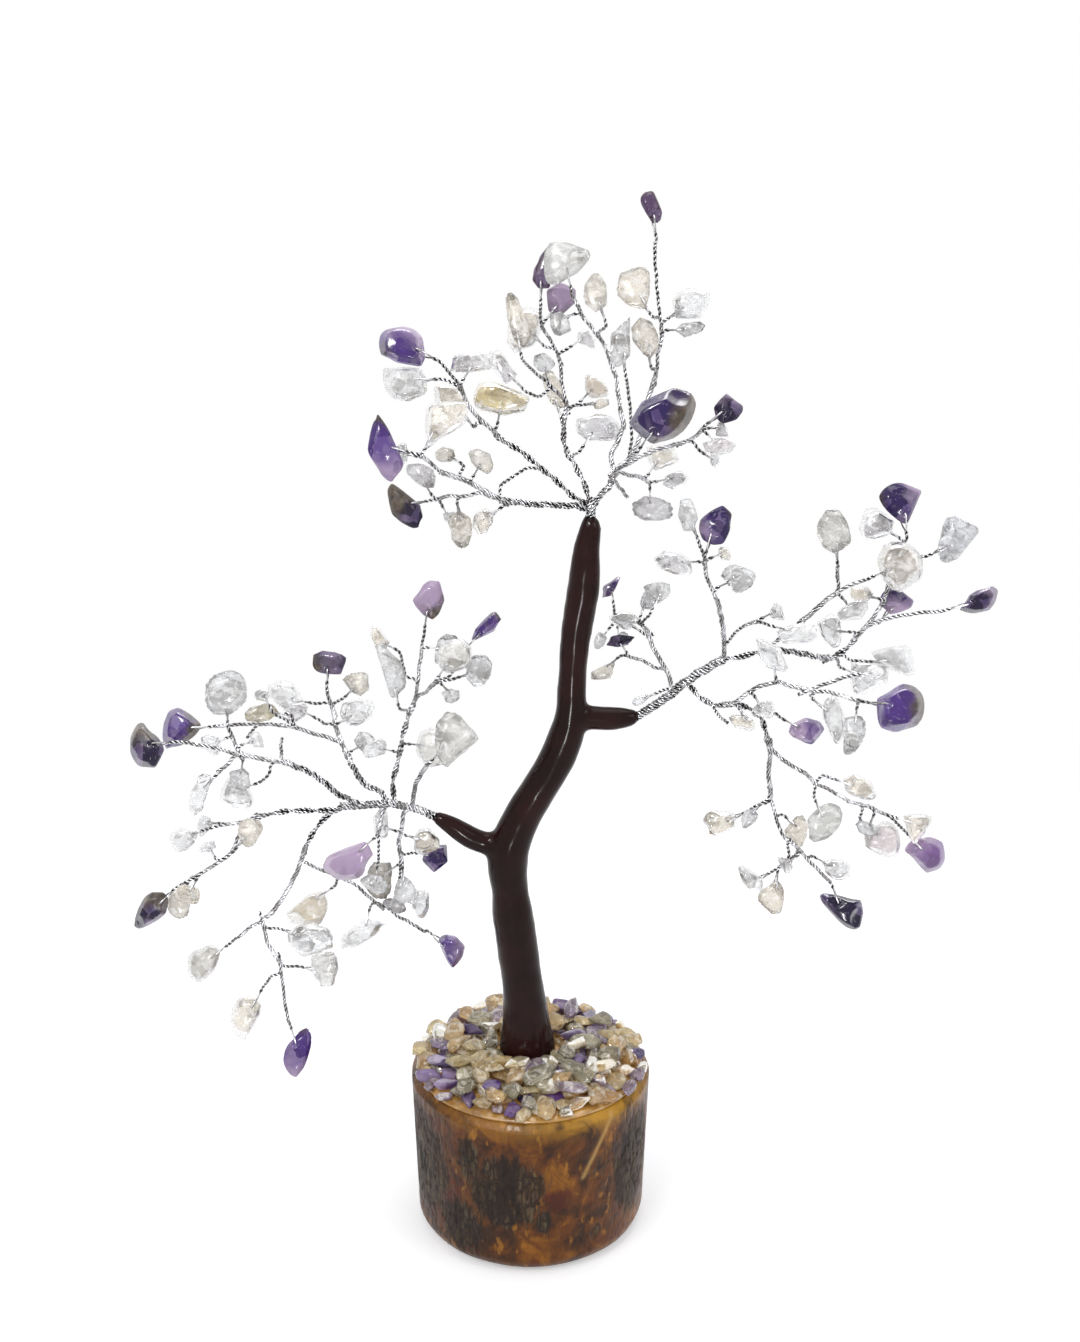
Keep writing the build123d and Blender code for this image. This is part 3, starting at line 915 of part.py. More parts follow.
def eye_route(shape, centre, toward_twig, thickness_way):
    """The wire that runs through a stone's hole, and the hole's middle and the neck's end."""
    rim = surface_height(shape, centre, toward_twig)
    hole = centre + toward_twig * (rim - min(HOLE_EDGE, rim / 2))
    radius = EYE_WIRE_DIAMETER / 2
    rise = [surface_height(shape, hole, way) + radius + EYE_BEND_RADIUS / 2
            for way in (thickness_way, -thickness_way)]
    shoulder = surface_height(shape, hole, toward_twig) + EYE_STANDOFF
    neck = hole + toward_twig * (shoulder + EYE_NECK)
    for share in SHOULDER_shares:
        points = [
            neck + thickness_way * (radius + FIT / 2),
            hole + toward_twig * shoulder + thickness_way * rise[0] * share,
            hole + thickness_way * rise[0],
            hole - thickness_way * rise[1],
            hole + toward_twig * shoulder - thickness_way * rise[1] * share,
            neck - thickness_way * (radius + FIT / 2),
        ]
        route = Route(points, EYE_BEND_RADIUS)
        outer = np.array([place for place in route.samples()
                          if (place - hole) @ toward_twig > EYE_HOLE_DIAMETER])
        outside = (outer @ shape.normals.T - shape.offsets).max(axis=1).min()
        if outside > radius + FIT:
            break
    return route, hole, neck


def eased_depths(points_pixels, start, end):
    """Depths along a picked route, in step with its length in the photograph."""
    steps = [math.dist(a, b) for a, b in zip(points_pixels, points_pixels[1:])]
    total = sum(steps)
    walked = np.concatenate(((0.0,), np.cumsum(steps))) / total
    return start + (end - start) * walked


def free_start(points, radius, limb, placed):
    """A wire's points from where it comes clear of the wire that it leaves, or None."""
    for _ in range(3):
        places = Route(points).samples()
        gaps = placed.wire_gaps(places, radius, limb)
        runs = np.linalg.norm(np.diff(places, axis=0), axis=1)
        passed_runs = np.concatenate(((0.0,), np.cumsum(runs)))
        blocked = np.flatnonzero((gaps < 0) & (passed_runs >= radius * WIRE_START_share))
        if not len(blocked):
            return points
        if blocked[-1] + 1 >= len(places):
            return None
        walked = float(passed_runs[blocked[-1] + 1]) - radius * WIRE_START_share
        passed = 0.0
        kept = list(points)
        while len(kept) > 2 and passed + np.linalg.norm(kept[1] - kept[0]) <= walked + radius:
            passed += np.linalg.norm(kept[1] - kept[0])
            kept.pop(0)
        run = np.linalg.norm(kept[1] - kept[0])
        if walked - passed >= run - radius or walked > runs.sum() * LONGEST_LOSS_share:
            return None
        kept[0] = kept[0] + (kept[1] - kept[0]) * max(0.0, (walked - passed) / run)
        points = kept
    return None


def depth_offsets():
    """Depths to try, nearest first, towards the viewer before away from it."""
    yield 0.0
    for step in range(1, DEPTH_STEPS + 1):
        yield -step * DEPTH_STEP
        yield step * DEPTH_STEP


def place_stem(stem, limb, placed, forks):
    """A stem as a route: it leaves the nearest wire and keeps clear of the others."""
    pixels = list(stem.route_pixels)
    start = pixels[0]
    near = min(forks, key=lambda fork: math.dist(fork[0], start))
    radius = wire_radius(stem.strands)
    for offset in depth_offsets():
        end = stem.depth_share * CROWN_REACH + offset
        depths = eased_depths(pixels, near[1][1], end)
        points = [near[1]] + [from_photo(p, d) for p, d in zip(pixels[1:], depths[1:])]
        points = free_start(points, radius, limb, placed)
        if points is not None and placed.stone_gap(Route(points).samples(), radius, limb) > 0:
            return Route(points), radius
    raise ValueError("a stem at pixel " + str(start) + " finds no room")


def place_gem(gem, limb, placed, forks, chance):
    """A stone with its twig and eye, at the first depth and size that is clear."""
    outlined = gem.centre_pixels in OUTLINES_pixels
    corners = outlined_corners(gem) if outlined else chip_corners(chance, *gem.size_pixels)
    axes = stone_axes(0 if outlined else gem.tilt, chance)
    first_pixel = gem.route_pixels[0] if gem.route_pixels else gem.centre_pixels
    near = min(forks, key=lambda fork: math.dist(fork[0], first_pixel))
    attach = near[1]
    route_pixels = [near[0]] + list(gem.route_pixels)
    radius = wire_radius(2)
    for shrink in SHRINK_shares:
        for offset in depth_offsets():
            depth = attach[1] + offset
            centre = from_photo(gem.centre_pixels, depth)
            scale = pixel_size(centre) * shrink
            depths = eased_depths(route_pixels + [gem.centre_pixels], attach[1], depth)
            bends = [from_photo(p, d) for p, d in zip(route_pixels[1:], depths[1:])]
            pull = (bends[-1] if bends else attach) - centre
            pull = pull - (pull @ axes[2]) * axes[2]
            least = scale * gem.size_pixels[1] * LEAST_PULL_share
            if np.linalg.norm(pull) < least:
                pull = pull - axes[1] * least
            toward = unit(pull)
            shape = convex(centre + (corners * scale) @ axes)
            reach = surface_height(shape, centre, toward) + EYE_STANDOFF + EYE_NECK + TWIG_LEAD
            room = (attach - centre) @ toward
            if not bends and room < reach:
                moved = toward * (room - reach)
                centre = centre + moved
                shape = Shape(shape.corners + moved, shape.normals,
                              shape.offsets + shape.normals @ moved)
            gap = placed.shape_gap(shape, limb)
            if gap < 0:
                continue
            eye, hole, neck = eye_route(shape, centre, toward, axes[2])
            points = [attach] + bends + [neck + toward * TWIG_LEAD, neck + toward * EYE_END_GAP]
            if bends and (bends[-1] - neck) @ toward < TWIG_LEAD * 2:
                points.pop(-3)
            if placed.stone_gap(eye.samples(), EYE_WIRE_DIAMETER / 2, limb) < 0:
                continue
            if placed.wire_gaps(eye.samples(), EYE_WIRE_DIAMETER / 2, limb).min() < 0:
                continue
            points = free_start(points, radius, limb, placed)
            if points is None:
                continue
            places = Route(points).samples()
            own = (places @ shape.normals.T - shape.offsets).max(axis=1).min()
            if own < radius or placed.stone_gap(places, radius, limb) < 0:
                continue
            return shape, Route(points), radius, eye, hole, axes[2], shrink
    return None


def trunk_rows(rows_pixels):
    """Centres and radii along the trunk or an arm, in its plane."""
    rows = []
    for u, v, width in rows_pixels:
        place = from_photo((u, v), 0.0)
        rows.append((place, width / 2 * pixel_size(place)))
    return rows


def limb_skin(rows):
    """The lacquered skin's outer shape, through circles square to its way."""
    sections = []
    for index, (place, radius) in enumerate(rows):
        before = rows[max(index - 1, 0)][0]
        after = rows[min(index + 1, len(rows) - 1)][0]
        way = unit(after - before)
        if index == 0 and rows[0][0][2] < BASE_HEIGHT + radius:
            way = np.array((0.0, 0.0, 1.0))
        sections.append(Plane(origin=Vector(*place), z_dir=Vector(*way)) * Circle(radius))
    return loft(sections)


def stone_solid(shape, drill=None):
    """A faceted stone, drilled where its wire runs."""
    solid = ConvexPolyhedron([tuple(corner) for corner in shape.corners])
    if drill is None:
        return solid.solids()[0]
    hole, way = drill
    place = Plane(origin=Vector(*hole), z_dir=Vector(*way))
    bore = place * Cylinder(EYE_HOLE_DIAMETER / 2, BORE_LENGTH)
    return (solid - bore).solids()[0]


def log_outline(radius, chance):
    """A log's not quite round outline."""
    points = []
    for step in range(LOG_POINTS):
        angle = math.tau * step / LOG_POINTS
        out = radius * (1 - chance.uniform(0, BASE_LUMP_share))
        points.append((out * math.cos(angle), out * math.sin(angle)))
    return points


def make_base(socket_radius):
    """The log slice, a little narrower at its foot, with the trunk's socket."""
    outline = log_outline(BASE_DIAMETER / 2, random.Random(LOG_SEED))
    levels = (
        (0.0, BASE_EDGE_RADIUS),
        (BASE_EDGE_RADIUS, 0.0),
        (BASE_HEIGHT - BASE_EDGE_RADIUS, 0.0),
        (BASE_HEIGHT, BASE_EDGE_RADIUS),
    )
    sections = []
    for height, inset in levels:
        share = BASE_TAPER_share + (1 - BASE_TAPER_share) * height / BASE_HEIGHT
        share *= 1 - inset / (BASE_DIAMETER / 2)
        points = [(x * share, y * share) for x, y in outline]
        face = make_face(Spline(*points, periodic=True).edges())
        sections.append(Plane.XY.offset(height) * face)
    body = loft(sections[:2], ruled=True) + loft(sections[1:3], ruled=True)
    body = body + loft(sections[2:], ruled=True)
    depth = SOCKET_DEPTH + SOCKET_END_GAP
    centre = from_photo(TRUNK_pixels[0][:2], 0.0)
    top = Plane(origin=(float(centre[0]), 0, BASE_HEIGHT - depth / 2))
    return body - top * Cylinder(socket_radius + FIT, depth)


def glued_chip(place, length, chance):
    """A chip that lies flat at a place, as a convex stone."""
    width = length * chance.uniform(*CHIP_WIDTH_shares)
    height = length * chance.uniform(*CHIP_HEIGHT_shares)
    turn = chance.uniform(0, math.tau)
    rows = []
    for share, rise in CHIP_RING_shares:
        for point in range(OUTLINE_POINTS - 1):
            angle = math.tau * (point + rise) / (OUTLINE_POINTS - 1)
            lump = 1 + chance.uniform(-STONE_LUMP_share, STONE_LUMP_share)
            x = share * lump * length / 2 * math.cos(angle)
            y = share * lump * width / 2 * math.sin(angle)
            rows.append((place[0] + x * math.cos(turn) - y * math.sin(turn),
                         place[1] + x * math.sin(turn) + y * math.cos(turn),
                         place[2] + rise * height))
    return convex(np.array(rows))


def settled(shape, near, most):
    """The chip at the lowest place where it clears the chips near it, or None."""
    for step in range(int(most / CHIP_RISE_STEP) + 1):
        rise = np.array((0.0, 0.0, step * CHIP_RISE_STEP))
        lifted = Shape(shape.corners + rise, shape.normals, shape.offsets + shape.normals @ rise)
        if all(plan_gap(lifted, other) > CHIP_GAP for other in near):
            return lifted
    return None


def glued_chips(foot, foot_radius):
    """The chips in the glue: a full layer, then a heap on it round the trunk's foot."""
    chance = random.Random(CHIP_SEED)
    bed_radius = BASE_DIAMETER / 2 - BASE_EDGE_RADIUS - GLUE_RIM / 2
    ground = BASE_HEIGHT + GLUE_THICKNESS
    golden = math.pi * (3 - math.sqrt(5))
    placed = []
    for layer in CHIP_LAYERS:
        level = ground + layer.start_share * CHIP_LENGTH
        spots = [(A, on_level(pixel, level)) for pixel in BASE_AMETHYST_pixels]
        for step in range(CHIP_TRIES):
            out = bed_radius * math.sqrt((step + 0.5) / CHIP_TRIES)
            angle = step * golden
            spots.append((Q, np.array((out * math.cos(angle), out * math.sin(angle), level))))
        for kind, place in spots:
            length = CHIP_LENGTH * layer.size_share * chance.uniform(*CHIP_LENGTH_shares)
            if kind == A:
                length *= VIOLET_CHIP_share
            shape = glued_chip(np.array((place[0], place[1], ground)), length, chance)
            reach = np.hypot(shape.corners[:, 0], shape.corners[:, 1]).max()
            clear = np.hypot(*(shape.corners[:, :2] - foot[:2]).T).min()
            inner = np.hypot(*(place[:2] - foot[:2]))
            if reach > bed_radius * layer.reach_share or clear < foot_radius + CHIP_GAP:
                continue
            if inner < foot_radius:
                continue
            near = [other for _, other in placed
                    if math.dist(other.corners[0][:2], place[:2]) < CHIP_LENGTH * 2]
            lifted = settled(shape, near, CHIP_LENGTH * layer.rise_share)
            if lifted is not None:
                placed.append((kind, lifted))
    return placed


def plan_gap(one, other):
    """The gap between two convex stones, by the faces that part them best."""
    between = unit(other.corners.mean(axis=0) - one.corners.mean(axis=0))
    axes = np.vstack((one.normals, -other.normals, between))
    return float(((other.corners @ axes.T).min(axis=0) - (one.corners @ axes.T).max(axis=0)).max())


def make_stand(nodes, placed):
    """The log, the glue with its chips, and the lacquered trunk round its wire cores."""
    trunk = trunk_rows(TRUNK_pixels)
    foot, foot_radius = trunk[0]
    core_radii = {limb: wire_radius(bundle.strands) for limb, bundle in BUNDLES.items()}
    root = np.array((foot[0], 0.0, BASE_HEIGHT - SOCKET_DEPTH))
    base = make_base(core_radii["top"])
    nodes["wood_base"] = base.solids()
    rim = BASE_DIAMETER / 2 - BASE_EDGE_RADIUS - GLUE_RIM / 2
    bed = Cylinder(rim, GLUE_THICKNESS, align=(Align.CENTER, Align.CENTER, Align.MIN))
    well = Pos(float(foot[0]), float(foot[1]), 0) * Cylinder(foot_radius + FIT, GLUE_THICKNESS * 3)
    nodes["glue_bed"] = (Pos(0, 0, BASE_HEIGHT) * bed - Pos(0, 0, BASE_HEIGHT) * well).solids()
    chips = glued_chips(foot, foot_radius)
    for kind in (Q, A):
        nodes["base_chips_" + kind] = [stone_solid(shape) for own, shape in chips if own == kind]
    arms = {"left": trunk_rows(LEFT_ARM_pixels), "right": trunk_rows(RIGHT_ARM_pixels)}
    skin = limb_skin(trunk)
    cores = {"top": Route([root] + [place for place, _ in trunk])}
    for limb, rows in arms.items():
        skin = skin + limb_skin(rows)
        clear = core_radii["top"] + core_radii[limb] + FIT * 2
        ahead = unit(rows[1][0] - rows[0][0])
        points = [rows[0][0] + ahead * clear] + [place for place, _ in rows[1:]]
        cores[limb] = Route(points)
    for limb, route in cores.items():
        nodes["core_" + limb] = [route.solid(core_radii[limb])]
        skin = skin - route.solid(core_radii[limb] + FIT)
    nodes["trunk_coating"] = skin.solids()
    for rows in (trunk, arms["left"], arms["right"]):
        places = Route([place for place, _ in rows]).samples()
        spots = np.array([place for place, _ in rows])
        radii = np.array([radius for _, radius in rows])
        for place in places:
            near = np.argsort(np.linalg.norm(spots - place, axis=1))[:2]
            placed.add_beads(place[None, :], float(radii[near].max()), "stand")


def make_bundle(limb, placed):
    """A limb's root: a wire bundle that starts with a ball just off the arm's tip."""
    stem = BUNDLES[limb]
    radius = wire_radius(stem.strands)
    depths = eased_depths(stem.route_pixels, 0.0, stem.depth_share * CROWN_REACH)
    points = [from_photo(p, d) for p, d in zip(stem.route_pixels, depths)]
    ahead = unit(points[1] - points[0])
    pivot = points[0] + ahead * (radius + BALL_GAP)
    route = Route([pivot] + points[1:])
    ball = Pos(*map(float, pivot)) * Sphere(radius)
    solid = (Part() + route.solid(radius) + ball).solids()[0]
    return solid, route, radius, pivot


def make_limbs(nodes, placed):
    """The three limbs: bundles first, then all stems, then the stones with their twigs."""
    pivots = {}
    forks = {}
    for limb in BUNDLES:
        solid, route, radius, pivot = make_bundle(limb, placed)
        nodes[limb + "_bundle"] = [solid]
        pivots[limb] = pivot
        placed.add_wire(route, radius, limb)
        places = route.samples()
        forks[limb] = list(zip(map(tuple, to_photo(places)), places))
    own_forks = {}
    for name, branch in BRANCHES.items():
        nodes[name + "_wires"] = []
        own_forks[name] = []
        for stem in branch.stems:
            route, radius = place_stem(stem, branch.limb, placed, forks[branch.limb])
            nodes[name + "_wires"].append(route.solid(radius))
            places = route.samples()
            placed.add_wire(route, radius, branch.limb)
            rows = list(zip(map(tuple, to_photo(places)), places))
            forks[branch.limb] += rows
            own_forks[name] += rows
    for name, branch in BRANCHES.items():
        for index, gem in enumerate(branch.gems):
            chance = random.Random(name + str(index))
            made = place_gem(gem, branch.limb, placed, own_forks[name], chance)
            if made is None:
                print("no room for the stone at", gem.centre_pixels, "on", name)
                continue
            shape, route, radius, eye, hole, way, shrink = made
            if shrink < SHRINK_shares[0]:
                print("a smaller stone at", gem.centre_pixels, "on", name, shrink)
            nodes[name + "_wires"].append(route.solid(radius))
            eyes = nodes.setdefault(branch.limb + "_wire_eyes", [])
            eyes.append(eye.solid(EYE_WIRE_DIAMETER / 2))
            group = branch.limb + "_amethysts" if gem.kind == A else name + "_quartz"
            nodes.setdefault(group, []).append(stone_solid(shape, (hole, way)))
            placed.add_wire(route, radius, branch.limb)
            placed.add_wire(eye, EYE_WIRE_DIAMETER / 2, branch.limb)
            placed.stones.append((shape, branch.limb))
    return pivots


def build_tree():
    """Every node's solids, what is in place, and where each limb bends."""
    nodes = {}
    placed = Neighbours()
    make_stand(nodes, placed)
    pivots = make_limbs(nodes, placed)
    return nodes, placed, pivots


def main():
    nodes, placed, pivots = build_tree()
    print("stones on the wires:", len(placed.stones))
    for limb, pivot in pivots.items():
        print("pivot of the", limb, "limb:", [round(float(value), 3) for value in pivot])
    os.makedirs("parts", exist_ok=True)
    for name, solids in nodes.items():
        piece = Compound(children=solids) if len(solids) > 1 else solids[0]
        piece.label = name
        export_step(piece, "parts/" + name + ".step")
        print(name, len(solids))


main()
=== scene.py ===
"""A gemstone tree ornament, dressed in its looks.

Twisted silver wire, tumbled quartz and amethyst chips, a lacquered trunk and a varnished log
with chips in amber glue. Lengths are metres in the part's own frame, and angles in tables are
degrees. _mm marks millimetres and _pixels a place in the picture.
"""

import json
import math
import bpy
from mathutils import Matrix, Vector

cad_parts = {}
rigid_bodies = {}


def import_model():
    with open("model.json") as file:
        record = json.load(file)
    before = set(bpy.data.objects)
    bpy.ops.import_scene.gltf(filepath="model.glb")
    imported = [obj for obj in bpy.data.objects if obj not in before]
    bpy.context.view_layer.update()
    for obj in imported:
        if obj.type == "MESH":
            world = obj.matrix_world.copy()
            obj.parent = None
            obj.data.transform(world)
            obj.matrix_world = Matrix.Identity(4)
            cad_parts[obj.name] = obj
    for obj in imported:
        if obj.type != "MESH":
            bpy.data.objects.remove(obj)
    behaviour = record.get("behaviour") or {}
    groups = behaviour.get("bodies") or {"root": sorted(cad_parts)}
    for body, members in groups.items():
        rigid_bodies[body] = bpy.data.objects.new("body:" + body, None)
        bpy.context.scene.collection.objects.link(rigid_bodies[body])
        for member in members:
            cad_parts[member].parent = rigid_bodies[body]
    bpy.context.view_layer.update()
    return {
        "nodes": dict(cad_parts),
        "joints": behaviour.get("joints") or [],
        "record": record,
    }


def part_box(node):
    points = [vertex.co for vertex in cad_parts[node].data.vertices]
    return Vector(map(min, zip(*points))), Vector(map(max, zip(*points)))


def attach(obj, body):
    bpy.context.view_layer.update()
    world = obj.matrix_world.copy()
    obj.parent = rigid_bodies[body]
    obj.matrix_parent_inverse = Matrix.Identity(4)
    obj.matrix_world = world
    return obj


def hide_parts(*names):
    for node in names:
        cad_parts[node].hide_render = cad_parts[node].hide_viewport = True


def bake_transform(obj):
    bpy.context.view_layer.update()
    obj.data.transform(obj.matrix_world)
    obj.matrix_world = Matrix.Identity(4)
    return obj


bl_info = {
    "name": "Gemstone Tree",
    "version": (1, 0, 0),
    "blender": (4, 5, 0),
    "location": "3D View > Sidebar > Gem Tree",
    "description": "Dresses a wire tree with tumbled stones on a log base",
    "category": "Object",
}

from collections import namedtuple

import bmesh
import bpy
import numpy as np
from mathutils import Vector, noise
from mathutils.bvhtree import BVHTree

for leftover in list(bpy.data.objects):
    bpy.data.objects.remove(leftover)
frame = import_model()
MM = 0.001

# The view: a place, how far it looks down, and the picture's size and focal length in pixels
VIEW_PLACE = (0.0023, -0.333, 0.235)
VIEW_PITCH = 17.2
PICTURE_pixels = (1080, 1342)
FOCAL_pixels = 1638
SENSOR_mm = 36.0

LIMBS = ("top", "left", "right")
Line = namedtuple("Line", "node body points radius")
Stone = namedtuple("Stone", "corners triangles centre ways size")
Look = namedtuple("Look", "centre_pixels tone pale pale_way rind rind_way")
Bark = namedtuple("Bark", "turn level wide tall much")
Wear = namedtuple("Wear", "edge dents depth cuts growth")
Lamp = namedtuple("Lamp", "name place wide tall power soft")

# A place's number: how many cells there are in a millimetre, and each axis's step
SEED_CELLS = 7
SEED_STEPS = (7919, 104729, 1299709)

# How near corners, levels and runs must be to count as one
SAME_CORNER = 0.002 * MM
SAME_LEVEL = 0.003 * MM
SAME_PLACE = 1e-7

# A wire's flat ends: the planes that are tried, how far one reaches, its fewest corners, how
# uneven its ring may be, and how far its area may be from a disc's
PLANES_TRIED = 60
END_REACH = 3 * MM
END_CORNERS = 8
END_UNEVEN = 0.08
END_SLACK = 0.15

# The points of stems and eyes, and how often their bends are softened
STEM_STEP = 0.25 * MM
EYE_STEP = 0.24 * MM
STEM_EASING = 6
EYE_EASING = 2

# The spread of the lays, of loose strands, of pairs in a rope, and of a pair's own two strands
LAY_SPREAD = (0.92, 1.08)
ROPE_LAY_SPREAD = (0.85, 1.15)
PAIR_LAY_SPREAD = (0.9, 1.1)

# Hand-twisted wire strays: how far, and over what length. At its ends it fades over some points
STRAY_FADE = 8
STEM_STRAY = (0.13 * MM, 5 * MM)
TURN_STRAY = (0.7, 7 * MM)
STRAND_STRAY = (0.07, 3 * MM)
ROPE_TURN_STRAY = (0.35, 9 * MM)
ROPE_STRAND_STRAY = (0.10, 6 * MM)

# Up to this many strands lie round each other, and more make a rope of tight pairs
LOOSE_STRANDS = 5
PAIR_TIGHTNESS = 0.88
# How far a paired strand's painted highlight crest leans outward from the rope
PAIR_PAINTED_CREST_LEAN = 0.8

# A thick rope's core, painted dark all over as shade between its pairs: the least reach that has
# one, its inset, and the reach of a full one
CORE_LEAST = 0.35 * MM
CORE_INSET = 0.3 * MM
CORE_FULL = 0.5 * MM
STRAND_SIDES = 6
CORE_SIDES = 7
EYE_SIDES = 8

# Where a stem leaves a thicker one: how far it may reach, how much thinner the thicker one may
# be, how far ahead it joins, how many points it follows it for, and how many are led on past
# its end
JOIN_REACH = 9 * MM
JOIN_SLACK = 0.02 * MM
JOIN_AHEAD = 1.2
JOIN_POINTS = 10
JOIN_LED_ON = 12
JOIN_PULL = 0.9

# A twig ends this near its stone's eye, and reaches this far past it
TWIG_REACH = 0.7 * MM
TWIG_OVERLAP = 0.1 * MM

# How thick a limb's twisted stems are, as a share of the solids
STEM_SHARES = {"top": 0.82, "left": 0.93, "right": 0.93}

# A limb's root: how far back it starts in the lacquer, how much of the bundle it leaves out,
# and where its bend begins and ends
ROOT_BACKS = (4.0 * MM, 2.0 * MM, 0.0)
ROOT_CLEAR = 1.05
BEND_IN = 1.6 * MM
BEND_OUT = 1.8 * MM

# How each kind of stone is worn: its edges' sharpness against the setting, its dents and their
# depth, its flat cuts, and how much it is enlarged by, besides the setting for stones on wires
AMETHYST_WEAR = Wear(1.4, 4, 0.06, 0, 1.0)
QUARTZ_WEAR = Wear(2.0, 5, 0.10, 0, 1.06)
CHIP_WEAR = Wear(3.0, 1, 0.10, 11, 1.88)

# Tumbled stones: the levels of flat cuts, how round and deep dents are, and a hole's worn rim
CUT_LEVELS = (0.50, 0.84)
DENT_ROUNDS = (0.45, 1.3)
DENT_DEPTHS = (0.3, 1.0)
DENT_EDGE = 22.0
DENT_FLOOR = 0.1 * MM
HOLE_RIM = 0.8 * MM
HOLE_WORN = 0.3 * MM

# How near a clear stone is to the spot of its own look, and how milky the others are
SPOT_REACH_pixels = 12
MILK_MOST = 0.75
MILK_CURVE = 1.4
CHIP_MILK_MOST = 0.35

# Glued chips: how much longer and flatter they are, how far out they may lie, and the heap
# round the trunk's foot
CHIP_LONGER = (0.10, 0.60)
CHIP_FLATTER = (0.50, 0.90)
CHIPS_OUT = 0.05
CHIPS_EDGE = 27.0 * MM
HEAP_REACH = 13 * MM
HEAP_RISE = 2.6 * MM

# The log: a radius past its bark, its worn foot, and the share of its height that is dark below
LOG_PAST = 60 * MM
FOOT_WORN = 2.2 * MM
FOOT_REACH = 4.0 * MM
FOOT_DARK = 0.10

# Cracks in the bark: how their pattern is stretched, and the level and strength of wide and
# fine ones
CRACK_STRETCH = (0.85, 0.85, 0.13)
CRACK_FINER = 2.1
WIDE_CRACKS = (0.80, 5)
FINE_CRACKS = (0.84, 3.5)
ROUGH_SCALE = 0.45

# The scratch up the log's front, as turn and height share: its start, its run and its width
SCRATCH_START = (26, 0.62)
SCRATCH_RUN = (16, 0.36)
SCRATCH_WIDTH = (1.1, 0.012)

# The golden rim: the height share where it begins, its rise, its turn and its reach either way
RIM_START = 0.86
RIM_RISE = 0.12
RIM_TURN = 42
RIM_REACH = 42

# The glue: the depth of its dips, and its crown inside the chips
GLUE_DIP = 0.45 * MM
GLUE_CROWN = 1.2 * MM
GLUE_MIDDLE = 0.9 * MM

# The lacquer's skin: its grain, how often and how it is smoothed, how thick it lies, and how
# many swells there are in a millimetre
SKIN_GRAIN = 0.5 * MM
SKIN_ROUNDS = 14
SKIN_KEPT = 0.4
SKIN_THICK = 0.12 * MM
SWELLS = 0.11
SMALL_SWELLS = 0.27

# How strongly light bends in the stones and in the clear skins
STONE_IOR = 1.54
LACQUER_IOR = 1.45
VARNISH_IOR = 1.5


def shade(code):
    """A colour written as six hex digits, as the shader takes it."""
    parts = [int(code[place:place + 2], 16) / 255 for place in (0, 2, 4)]
    return tuple(p / 12.92 if p <= 0.04045 else ((p + 0.055) / 1.055) ** 2.4 for p in parts)


TONES = {
    "deep": shade("2e1958"),
    "mid": shade("533485"),
    "light": shade("8a68a0"),
    "pale": shade("b59fb9"),
    "dark": shade("1c1034"),
    "plum": shade("4b3149"),
    "charcoal": shade("4d4856"),
}
PALE_ZONE = shade("bda6c4")
RIND_BROWN = shade("6b5d50")

# The violet stones: where each shows in the picture, and which way its pale zone and rind lie
VIOLET_LOOKS = [
    # The first stone's pale zone, toward the upper right, stands for glints: a painted highlight.
    Look((401, 345), "mid", 0.25, 70, 0.10, 200),
    Look((383, 447), "mid", 0.25, -85, 0.12, 95),
    Look((407, 505), "dark", 0.0, 0, 0.60, 130),
    Look((542, 272), "plum", 0.0, 0, 0.10, 250),
    Look((556, 308), "pale", 0.60, 60, 0.0, 0),
    Look((653, 219), "plum", 0.0, 0, 0.15, 90),
    Look((663, 417), "deep", 0.0, 0, 0.45, -25),
    Look((718, 416), "dark", 0.10, 90, 0.0, 0),
    Look((428, 601), "pale", 0.50, 120, 0.30, -50),
    Look((487, 625), "mid", 0.0, 0, 0.25, 60),
    Look((328, 672), "charcoal", 0.0, 0, 0.20, 180),
    Look((150, 745), "dark", 0.0, 0, 0.40, 95),
    Look((186, 729), "mid", 0.0, 0, 0.35, 0),
    Look((149, 911), "dark", 0.10, 0, 0.50, 80),
    Look((299, 1052), "mid", 0.15, -90, 0.10, 100),
    Look((449, 948), "mid", 0.25, 0, 0.10, 150),
    Look((350, 859), "pale", 0.70, 90, 0.0, 0),
    Look((435, 857), "deep", 0.0, 0, 0.0, 0),
    Look((612, 590), "deep", 0.0, 0, 0.0, 0),
    Look((623, 647), "dark", 0.0, 0, 0.0, 0),
    Look((714, 529), "deep", 0.10, 200, 0.10, 0),
    Look((899, 502), "deep", 0.05, 30, 0.10, 180),
    Look((977, 600), "dark", 0.10, 60, 0.10, 180),
    Look((880, 622), "deep", 0.50, -90, 0.0, 0),
    Look((806, 731), "mid", 0.60, 180, 0.0, 0),
    Look((891, 706), "mid", 0.0, 0, 0.35, 0),
    Look((926, 854), "light", 0.20, 120, 0.0, 0),
    Look((842, 911), "dark", 0.0, 0, 0.0, 0),
]

# Clear stones that show a colour or cloud of their own: where, tint, and how milky
CLEAR_LOOKS = [
    ((445, 747), shade("dcdad6"), 0.85),
    ((898, 566), shade("bdb3a8"), 0.55),
    ((959, 540), shade("dfe1e6"), 0.05),
    ((835, 537), shade("d6d4d0"), 0.15),
    ((503, 396), shade("dccb96"), 0.45),
    ((567, 271), shade("e8e8e6"), 0.60),
    ((447, 664), shade("d8d5cc"), 0.80),
    ((203, 965), shade("d3cfc8"), 0.75),
    ((303, 907), shade("cfc3ac"), 0.60),
    ((325, 972), shade("e6e6e4"), 0.55),
    ((388, 872), shade("aaa296"), 0.40),
    ((643, 633), shade("d9d0b8"), 0.55),
    ((590, 386), shade("cdbfae"), 0.45),
    ((825, 823), shade("d6d6d2"), 0.70),
    ((883, 840), shade("d8cdd0"), 0.60),
    ((775, 673), shade("cfc4b2"), 0.50),
    ((264, 708), shade("d6cbaa"), 0.50),
    ((714, 440), shade("e0d8dc"), 0.65),
]

